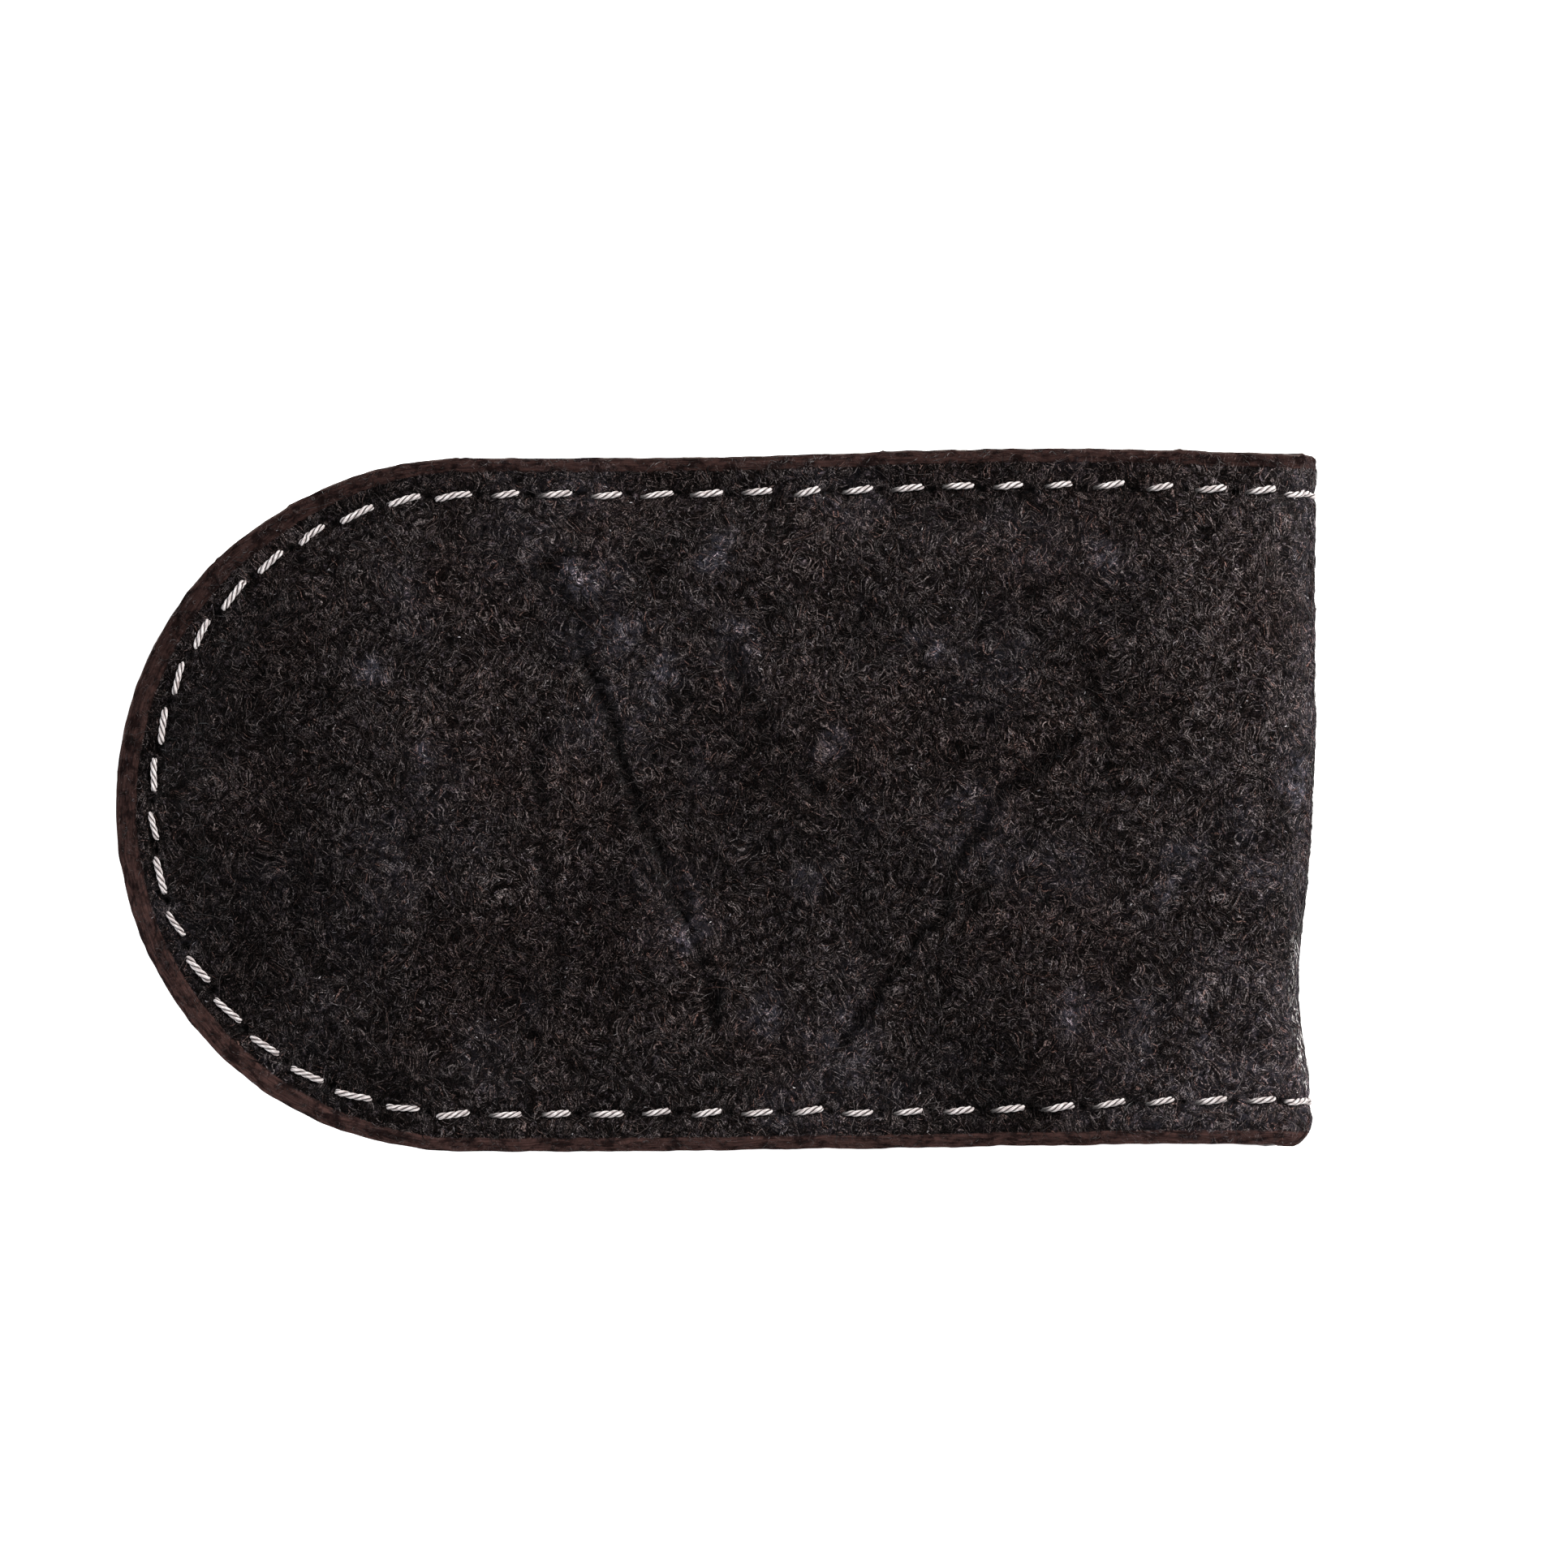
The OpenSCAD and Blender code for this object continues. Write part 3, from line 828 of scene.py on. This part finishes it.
def lining_material():
    """Smooth near-black lining with a fine pebbled grain and a satin finish."""
    g = Graph("grained_lining")
    flat = g.attribute("flat")
    cells = g.node("ShaderNodeTexVoronoi", {"Vector": flat, "Scale": 2.2}, feature="DISTANCE_TO_EDGE")
    pebble = g.spread(cells.outputs["Distance"], 0.0, 0.22)
    fine = g.noise(flat, 7.0, 3.0, 0.6)
    folds = g.noise(g.mapped(flat, scale=(0.9, 0.25, 1.0)), 1.0, 3.0)
    colour = g.mix(g.spread(folds, 0.35, 0.7), rgba((24, 20, 20)), rgba((42, 36, 35)))
    colour = g.mix(g.product(g.math("SUBTRACT", 1.0, pebble), 0.6), colour, rgba((10, 8, 8)))
    # Painted shade in the needle holes
    hole = g.spread(g.attribute("hole", "Fac"), 0.3, 0.85)
    colour = g.mix(hole, colour, rgba((3, 3, 3)))
    edge, edge_height = painted_edge(g)
    on_edge = g.spread(g.attribute("edge", "Fac"), 0.55, 0.9)
    colour = g.mix(on_edge, colour, edge)
    grain = g.math("ADD", g.product(pebble, 0.6), g.product(fine, 0.35))
    rough = g.math("ADD", g.product(fine, 0.18), 0.42)
    normal = g.bump(g.either(on_edge, grain, edge_height), 0.035)
    return g.finish(Base_Color=colour, Roughness=rough, Specular_IOR_Level=0.4, Normal=normal)


def thread_material():
    """Twisted cream thread: fine filaments along each ply, with painted shade between the plies and where it
    goes into the leather.
    """
    g = Graph("cream_thread")
    along = g.attribute("flat")
    filaments = g.noise(g.mapped(along, scale=(1.0, 3.0, 1.0)), 3.0, 3.0, 0.6)
    colour = g.mix(g.spread(filaments, 0.35, 0.65), rgba((158, 146, 146)), rgba((238, 232, 231)))
    dirt = g.noise(g.mapped(along, scale=(0.35, 0.0, 1.0)), 1.0, 2.0)
    colour = g.mix(g.spread(dirt, 0.5, 0.75, 0.0, 0.45), colour, rgba((128, 100, 92)))
    # Painted shade between the plies, and where the thread is sunk
    colour = g.mix(g.spread(g.part(along, 2), 0.93, 0.62), colour, rgba((44, 33, 31)))
    colour = g.mix(g.attribute("buried", "Fac"), colour, rgba((30, 22, 20)))
    return g.finish(
        Base_Color=colour,
        Roughness=0.55,
        Specular_IOR_Level=0.35,
        Sheen_Weight=0.2,
        Normal=g.bump(filaments, 0.02),
    )


def board_material():
    """Bonded leather board: pressed brown fibres."""
    g = Graph("bonded_board")
    at = g.node("ShaderNodeTexCoord").outputs["Object"]
    fibres = g.noise(g.mapped(at, scale=(900, 2500, 900)), 1.0, 4.0, 0.7)
    specks = g.noise(at, 4000.0, 2.0)
    colour = g.mix(g.spread(fibres, 0.35, 0.65), rgba((120, 96, 70)), rgba((176, 148, 112)))
    colour = g.mix(g.spread(specks, 0.6, 0.75), colour, rgba((74, 56, 40)))
    return g.finish(Base_Color=colour, Roughness=0.85, Normal=g.bump(fibres, 0.04))


def nickel_material():
    """Bright nickel plating with fine tumbling marks."""
    g = Graph("nickel_plating")
    at = g.node("ShaderNodeTexCoord").outputs["Object"]
    marks = g.noise(g.mapped(at, 0.4, (700, 5000, 700)), 1.0, 3.0, 0.7)
    blush = g.noise(at, 350.0, 2.0)
    colour = g.mix(g.spread(blush, 0.3, 0.7), rgba((196, 192, 184)), rgba((222, 220, 216)))
    rough = g.spread(marks, 0.3, 0.7, 0.16, 0.32)
    return g.finish(Base_Color=colour, Metallic=1.0, Roughness=rough, Normal=g.bump(marks, 0.004))


# ---- Pieces and layers ----

NECK = 1 - 0.31  # least radius of a pressed-in fold, as a share of the unpressed radius
HIDE_REACH = FOLD_MID_R * NECK * math.sin(HINGE_TURN / 2) - 0.005
LINING_REACH = FOLD_INNER_R * NECK * math.sin(HINGE_TURN / 2) - 0.005


def bend_at(obj):
    """Bakes a piece's place into its points."""
    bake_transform(obj)


# A leather layer is four pieces, which meet in the middle of the fold's strips.
# Its label, its side, where it starts and ends, its hinge and the CAD nodes that it stands for
PARTS = [
    ("back", -1, STRIP_U, None, HINGES[0], ["back", "fold_1"]),
    ("spine_back", -1, 0.0, STRIP_U, HINGES[1], ["fold_2"]),
    ("spine_front", 1, 0.0, STRIP_U, HINGES[2], ["fold_3"]),
    ("front", 1, STRIP_U, None, HINGES[3], ["front"]),
]


def dressed(obj, material):
    """Gives a piece its material."""
    obj.data.materials.append(material)
    return obj


HIDE = Layer(
    outer_height, outer_back_height,
    insets((BEVEL_WIDTH, 0.13), (3.4, 0.155), (HALF_WIDTH, 0.27)),
    insets((CORE_INSET - 0.25, 1.1), (CORE_INSET, 0.125), (HALF_WIDTH, 2.2)),
)
LINING = Layer(
    lining_height, lining_back_height,
    insets((0.4, 0.1), (3.4, 0.17), (HALF_WIDTH, 0.4)),
    insets((HALF_WIDTH, 2.0)),
)

# ---- Thread ----

PLIES = 3
PLY_PITCH = 1.5
PLY_SIDES = 10
RINGS = 36


def on_seam(along, inset, side):
    """u and y of a place given by its distance along the seam and its inset. side is as for leather_mesh."""
    turn = (along - TIP_U) / SEAM_Y - math.pi / 2
    reach = HALF_WIDTH - inset
    there, back = along < TIP_U, along > SEAM_LENGTH - TIP_U
    u = np.where(there, along, np.where(back, SEAM_LENGTH - along, TIP_U + reach * np.cos(turn)))
    y = np.where(there, -reach, np.where(back, reach, reach * np.sin(turn)))
    return side * u, y


def path_and_normals(u, y, h, out):
    path = place(u, y, h)
    normals = place(u, y, h + out * 0.05) - path
    return path, unit(normals)


def twisted(path, normals, thickness, phase):
    """Points and faces of plies twisted round a path, with how far along and around each point is."""
    steps = np.linalg.norm(np.diff(path, axis=0), axis=1)
    run = np.concatenate([[0], np.cumsum(steps)])
    tangent = unit(np.gradient(path, axis=0))
    side = unit(np.cross(tangent, normals))
    up = np.cross(side, tangent)
    thickness = np.broadcast_to(thickness, len(path))
    ply_r = thickness * 0.26
    spin_r = thickness / 2 - ply_r
    points, faces, marks = [], [], []
    for ply in range(PLIES):
        turn = phase + 2 * math.pi * (run / PLY_PITCH + ply / PLIES)
        centre = path + spin_r[:, None] * (np.cos(turn)[:, None] * side + np.sin(turn)[:, None] * up)
        base = len(points)
        around = np.linspace(0, 2 * math.pi, PLY_SIDES, endpoint=False)
        for i in range(len(path)):
            round_ply = np.outer(np.cos(around), side[i]) + np.outer(np.sin(around), up[i])
            ring = centre[i] + ply_r[i] * round_ply
            points.extend(ring)
            out = np.linalg.norm(ring - path[i], axis=1) / (spin_r[i] + ply_r[i])
            marks.extend([(run[i] + 9.1 * ply, a / 2 / math.pi + ply, o) for a, o in zip(around, out)])
        faces += tube_faces(base, len(path), PLY_SIDES)
    return np.array(points), faces, np.array(marks)


def stitch_line(start, end, side, height, out, rng):
    """Path and normals of one stitch between two needle holes, and how far it is sunk.
    out is 1 on the hide's face and -1 on the lining's."""
    t = np.linspace(0, 1, RINGS)
    margin = np.clip(0.26 + 0.10 * rng.standard_normal(), 0.12, 0.5)
    slant = 0.15 + 0.05 * rng.standard_normal()
    drift = 0.05 * rng.standard_normal()
    # The thread comes up out of one hole, lies along the leather and goes down into the next.
    # On a long row, one end of each stitch lies lower than the other.
    y_side = -1 if end < TIP_U else 1 if start > SEAM_LENGTH - TIP_U else 0
    lie = smoothstep(t, 0, 0.2 + 0.1 * (y_side > 0)) * smoothstep(1 - t, 0, 0.2 + 0.1 * (y_side < 0))
    along = start + margin + (end - start - 2 * margin) * (0.5 + (t - 0.5) * (0.94 + 0.06 * lie))
    inset = seam_inset(along, np.where(along < SEAM_LENGTH / 2, -1, 1)) + drift + slant * (1 - 2 * t)
    u, y = on_seam(along, inset, side)
    level = np.median(height(u, y)[RINGS // 3: -RINGS // 3])
    arch = 0.05 * np.sin(math.pi * t)
    h = level + out * ((THREAD_T * 0.22 + arch) * lie - 0.55 * (1 - lie))
    far = t if y_side > 0 else 1 - t
    pulled = 0.7 * (1 - smoothstep(far, 0.2, 0.52)) * abs(y_side)
    return *path_and_normals(u, y, h, out), np.maximum(1 - lie, pulled)


def strip_stitch(strip, sign, height, out, rng, part=(0.0, 1.0)):
    """The same for a stitch over one strip of the fold, on the side of the clip that sign gives.
    part keeps only a share of the stitch's length."""
    t = np.linspace(*part, RINGS)
    lie = smoothstep(np.minimum(t, 1 - t), 0, 0.12)
    margin = 0.2
    u = (strip - 2) * STRIP_U + (STRIP_U - 2 * margin) * (t - 0.5)
    slant = 0.08 + 0.02 * rng.standard_normal()
    y = sign * (HALF_WIDTH - seam_inset(u, sign)) + slant * (0.5 - t) * 2
    sunk = 0.18 * THREAD_T * (strip == 2)
    level = np.median(height(u, y))
    h = level + out * ((THREAD_T * 0.30 + 0.03 - sunk) * lie - 0.5 * (1 - lie))
    return *path_and_normals(u, y, h, out), 1 - lie


def thread_mesh(name, stitches):
    """One piece from a list of stitches, each a path, normals and how far it is sunk."""
    rng = np.random.default_rng(SEED + len(stitches))
    points, faces, marks, buried = [], [], [], []
    base = 0
    for k, (path, normals, sunk) in enumerate(stitches):
        thickness = THREAD_T * (1 + 0.05 * rng.standard_normal()) * (1 - 0.55 * sunk)
        made, made_faces, made_marks = twisted(path, normals, thickness, rng.uniform(0, 6.28))
        points.append(made)
        faces += [tuple(base + i for i in f) for f in made_faces]
        marks.append(made_marks + np.array([23.7 * k, 0, 0]))
        buried.append(np.tile(np.repeat(sunk, PLY_SIDES), PLIES))
        base += len(made)
    obj = mesh_object(name, np.concatenate(points), faces)
    set_values(obj, "flat", np.concatenate(marks))
    set_values(obj, "buried", smoothstep(np.concatenate(buried), 0.1, 0.75))
    return obj


# ---- Loose fibres of the nap ----

NAP_SPLIT = LEAF_U / 2
NAP_POINTS = 5
NAP_SIDES = 3

# Kinds of loose fibre: how many per square millimetre, lengths, radii, bend and tones
NAP_KINDS = [
    (1.0, (0.5, 1.6), (0.018, 0.028), 1.2, (0.0, 0.3)),
    (1.5, (0.25, 0.8), (0.011, 0.018), 1.2, (0.45, 0.7)),
    (0.20, (1.2, 3.6), (0.012, 0.017), 0.7, (0.55, 0.86)),
    (0.55, (0.12, 0.45), (0.011, 0.017), 0.9, (0.86, 0.94)),
    (0.05, (0.1, 0.2), (0.025, 0.04), 0.5, (0.94, 0.97)),
]
# The same for fibres on the painted rim, and for pale ones where the fold is scuffed bare
RIM_NAP = (3.5, (0.12, 0.6), (0.012, 0.02), 1.0, (0.3, 0.84))
FOLD_NAP = (9.0, (0.2, 0.8), (0.014, 0.024), 0.9, (0.93, 0.99))
RIM_KIND, FOLD_KIND = len(NAP_KINDS), len(NAP_KINDS) + 1


def drawn_fibres(rng, start, end):
    """Random numbers for the fibres between u = start and u = end, and the kind of each one.
    The rows are u, y, length, radius, curl, tone, turn of the heading, and rise."""
    drawn, kinds = [], []
    for kind, (per_mm2, lengths, radii, bends, tones) in enumerate([*NAP_KINDS, RIM_NAP, FOLD_NAP]):
        count = round(per_mm2 * (end - start) * 2 * HALF_WIDTH)
        rows = [rng.uniform(start, end, count)]
        for low, high in ((-HALF_WIDTH, HALF_WIDTH), lengths, radii):
            rows.append(rng.uniform(low, high, count))
        rows.append(rng.normal(0, bends, count))
        rows.append(rng.uniform(*tones, count))
        rows.append(0.8 * rng.standard_normal(count))
        rows.append(rng.uniform(0.0, 0.05, count))
        drawn.append(np.array(rows))
        kinds.append(np.full(count, kind))
    return np.concatenate(drawn, 1), np.concatenate(kinds)


def kept_fibres(side, u, y, turned, kinds):
    """Which fibres stay: those off the paint and most needle holes, and two kinds only in their places."""
    inset = inset_of(u, y)
    on_rim = (kinds != RIM_KIND) | (inset < BEVEL_WIDTH)
    on_fold = (kinds != FOLD_KIND) | (bare(side * u, y) > 0.45 + 0.6 * np.abs(turned))
    clear = (hole_distance(u, y) > 0.38) | (turned > 1.0)
    off_edge = inset > 0.12 + (0.55 + 0.45 * np.abs(turned)) * (kinds < RIM_KIND)
    return off_edge & clear & on_rim & on_fold


def fibre_headings(side, u, y, turned, on_rim):
    """Directions of the fibres: in swirls, but along the edge on the rim and across the clip by the fold."""
    swirl = np.arctan2(noise(u * side, y, 2.8, SEED + 31), noise(u * side, y, 2.8, SEED + 32)) + turned
    round_tip = np.arctan2(y, np.maximum(u - TIP_U, 0) + 1e-9) + math.pi / 2
    heading = np.where(on_rim, round_tip + 0.7 * turned, swirl)
    by_fold = np.exp(-((u / 4.0) ** 2)) * ~on_rim
    return heading * (1 - by_fold) + (math.pi / 2 + 0.4 * turned) * by_fold


def fibre_points(side, u, y, lift, radius):
    """Points of thin tubes along paths on the hide. Each array has one row for each fibre."""
    h = outer_height(side * u, y) + lift
    centre = place(side * u, y, h)
    up = unit(place(side * u, y, h + 0.05) - centre)
    tangent = unit(np.gradient(centre, axis=1))
    across = unit(np.cross(tangent, up))
    rings = []
    for k in range(NAP_SIDES):
        a = 2 * math.pi * k / NAP_SIDES + 0.5
        rings.append(centre + radius[..., None] * (math.cos(a) * across + math.sin(a) * up))
    return np.stack(rings, 2).reshape(-1, 3)


def fibre_faces(count):
    """Faces of the tubes of all fibres."""
    *sides, low_end, high_end = tube_faces(0, NAP_POINTS, NAP_SIDES)
    firsts = NAP_POINTS * NAP_SIDES * np.arange(count)[:, None, None]
    faces = []
    for some in (sides, [low_end, high_end]):
        faces += (np.array(some) + firsts).reshape(-1, len(some[0])).tolist()
    return faces


def nap_mesh(name, side, start, end):
    """Loose fibres lying on the hide between u = start and u = end."""
    rng = np.random.default_rng(SEED + round(start * 10) + (100 if side > 0 else 200))
    rows, kinds = drawn_fibres(rng, start, end)
    keep = kept_fibres(side, rows[0], rows[1], rows[6], kinds)
    u, y, length, radius, curl, tone, turned, raised = rows[:, keep]
    heading = fibre_headings(side, u, y, turned, (kinds == RIM_KIND)[keep])
    t = np.linspace(-0.5, 0.5, NAP_POINTS)[None, :]
    angle = heading[:, None] + curl[:, None] * t
    path_u = u[:, None] + length[:, None] * t * np.cos(angle)
    path_y = y[:, None] + length[:, None] * t * np.sin(angle)
    # No fibre reaches past the edge, or past the cut to the next piece
    path_y = np.clip(path_y, 0.1 - HALF_WIDTH, HALF_WIDTH - 0.1)
    path_u = np.clip(path_u, start + 0.02, end - 0.02 if end < LEAF_U else end - 0.5)
    lift = 0.015 + raised[:, None] * (1 - 3.6 * t**2)
    points = fibre_points(side, path_u, path_y, lift, radius[:, None] * (1 - 2.6 * t**2))
    obj = mesh_object(name, points, fibre_faces(len(u)))
    per = NAP_POINTS * NAP_SIDES
    # Fibres are a little lighter on the places of wear and painted sheen
    tone = np.clip(tone + 0.1 * (wear_and_sheen(side * u, y) - 0.3), 0, 1)
    set_values(obj, "tone", np.repeat(tone, per))
    set_values(obj, "shade", np.repeat(shade(side * u, y), per))
    flat_u, flat_y = np.repeat(path_u, NAP_SIDES), np.repeat(path_y, NAP_SIDES)
    set_values(obj, "flat", np.stack([flat_u, flat_y, 0 * flat_u], -1))
    return obj


# ---- Camera, light and floor ----


VIEW_WIDTH = 91.75
VIEW_MIDDLE = (3.94, 0.95)
LENS = 150
SENSOR = 36


def camera():
    """Straight above the clip, which lies a little left of the frame's middle and a little below it."""
    data = bpy.data.cameras.new("camera")
    data.lens = LENS
    data.sensor_width = SENSOR
    data.clip_start = 0.01
    data.clip_end = 10
    obj = add_object("camera", data)
    obj.location = Vector((*VIEW_MIDDLE, MIDDLE_Z + VIEW_WIDTH * LENS / SENSOR)) * MM
    bpy.context.scene.camera = obj


def area_light(name, place_m, size, power, colour=(1, 1, 1)):
    """A lamp at a place in metres, turned to the frame's origin."""
    data = bpy.data.lights.new(name, "AREA")
    data.shape = "RECTANGLE"
    data.size, data.size_y = size
    data.energy = power
    data.color = colour
    obj = add_object(name, data)
    obj.location = place_m
    obj.rotation_euler = (-Vector(place_m)).to_track_quat("-Z", "Y").to_euler()


def studio():
    """Low lamps all round, so that the hide's face stays dark and its fibres catch the light."""
    world = bpy.data.worlds.new("studio")
    bpy.context.scene.world = world
    world.use_nodes = True
    background = world.node_tree.nodes["Background"]
    background.inputs[0].default_value = (1, 1, 1, 1)
    background.inputs[1].default_value = 0.12
    area_light("key", (0.26, 0.22, 0.26), (0.12, 0.12), 2.9, (1.0, 0.98, 0.96))
    area_light("left", (-0.42, 0.05, 0.20), (0.16, 0.25), 1.4, (0.94, 0.97, 1.0))
    area_light("front", (0.02, -0.42, 0.24), (0.3, 0.12), 1.0)
    bpy.context.scene.view_settings.view_transform = "Standard"


def floor():
    """A pale floor that glows a little, so close under the clip that the clip seems to rest on it."""
    half_size, under = 3.0, 0.00012
    corners = [(-half_size, -half_size, 0), (half_size, -half_size, 0)]
    corners += [(half_size, half_size, 0), (-half_size, half_size, 0)]
    mesh = bpy.data.meshes.new("floor")
    mesh.from_pydata(corners, [], [(0, 1, 2, 3)])
    obj = add_object("floor", mesh)
    obj.location.z = -under
    g = Graph("pale_floor")
    at = g.node("ShaderNodeTexCoord").outputs["Object"]
    colour = g.mix(g.noise(at, 6.0, 2.0), rgba((246, 246, 246)), rgba((252, 252, 252)))
    glow = {"Emission_Color": (1, 1, 1, 1), "Emission_Strength": 0.75}
    obj.data.materials.append(g.finish(Base_Color=colour, Roughness=0.9, Specular_IOR_Level=0.1, **glow))


# ---- Building ----


def build_leather():
    nap = nap_material()
    layers = [
        ("hide", HIDE, hide_material(), "outer_leather", HIDE_REACH, "outer_leather"),
        ("lining_skin", LINING, lining_material(), "lining_leather", LINING_REACH, "lining"),
    ]
    for label, side, start, end, hinge, stands_for in PARTS:
        for name, layer, material, slot, reach, node in layers:
            piece = dressed(leather_mesh(f"{name}_{label}", layer, side, start, end), material)
            bend_at(piece)
            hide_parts(*(f"{node}_{n}" for n in stands_for))
        nap_end = end or NAP_SPLIT
        piece = dressed(nap_mesh("nap_" + label, side, start, nap_end), nap)
        bend_at(piece)
        if end is None:
            piece = dressed(nap_mesh(f"nap_{label}_tip", side, nap_end, LEAF_U), nap)
            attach(piece, label + "_leaf")


def build_leaf_threads(thread):
    for label, side in (("back", -1), ("front", 1)):
        for face, height, out in (("outer", outer_height, 1), ("lining", lining_height, -1)):
            rng = np.random.default_rng(SEED + side * 3 + out + 20)
            lines = []
            for k in range(STITCHES):
                start = HINGE_U + k * STITCH
                lines.append(stitch_line(start, start + STITCH, side, height, out, rng))
            piece = dressed(thread_mesh(f"{face}_stitches_{label}", lines), thread)
            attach(piece, label + "_leaf")
            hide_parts(f"{face}_thread_{label}")


def build_outer_fold_threads(thread):
    rng = np.random.default_rng(SEED + 40)
    for strip in FOLD_STRIPS:
        lines = [strip_stitch(strip, sign, outer_height, 1, rng) for sign in (-1, 1)]
        piece = dressed(thread_mesh(f"outer_stitches_fold_{strip}", lines), thread)
        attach(piece, f"fold_{strip}")
        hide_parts(f"outer_thread_fold_{strip}")


def build_lining_fold_threads(thread):
    """The lining's stitches at the fold, each cut in half, with one piece for each hinge."""
    rng = np.random.default_rng(SEED + 41)
    halves = [[] for _ in HINGES]
    for strip in FOLD_STRIPS:
        for sign in (-1, 1):
            # Both halves of a stitch take the same random slant
            state = rng.bit_generator.state
            for k, part in ((strip - 1, (0.0, 0.5)), (strip, (0.5, 1.0))):
                rng.bit_generator.state = state
                halves[k].append(strip_stitch(strip, sign, lining_height, -1, rng, part))
    for k, hinge in enumerate(HINGES):
        piece = dressed(thread_mesh(f"lining_stitches_hinge_{k + 1}", halves[k]), thread)
        bend_at(piece)
        stood_for = [f"lining_thread_fold_{k + 1}"] if k < len(FOLD_STRIPS) else []
        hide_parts(*stood_for)


def dress_core():
    """Gives the boards and magnets of the frame their materials. They keep their CAD shapes."""
    board, nickel = board_material(), nickel_material()
    for name, node in frame["nodes"].items():
        for start, material in (("stiffener", board), ("magnet", nickel)):
            if name.startswith(start):
                node.data.materials.clear()
                node.data.materials.append(material)


camera()
studio()
floor()
build_leather()
thread = thread_material()
build_leaf_threads(thread)
build_outer_fold_threads(thread)
build_lining_fold_threads(thread)
dress_core()
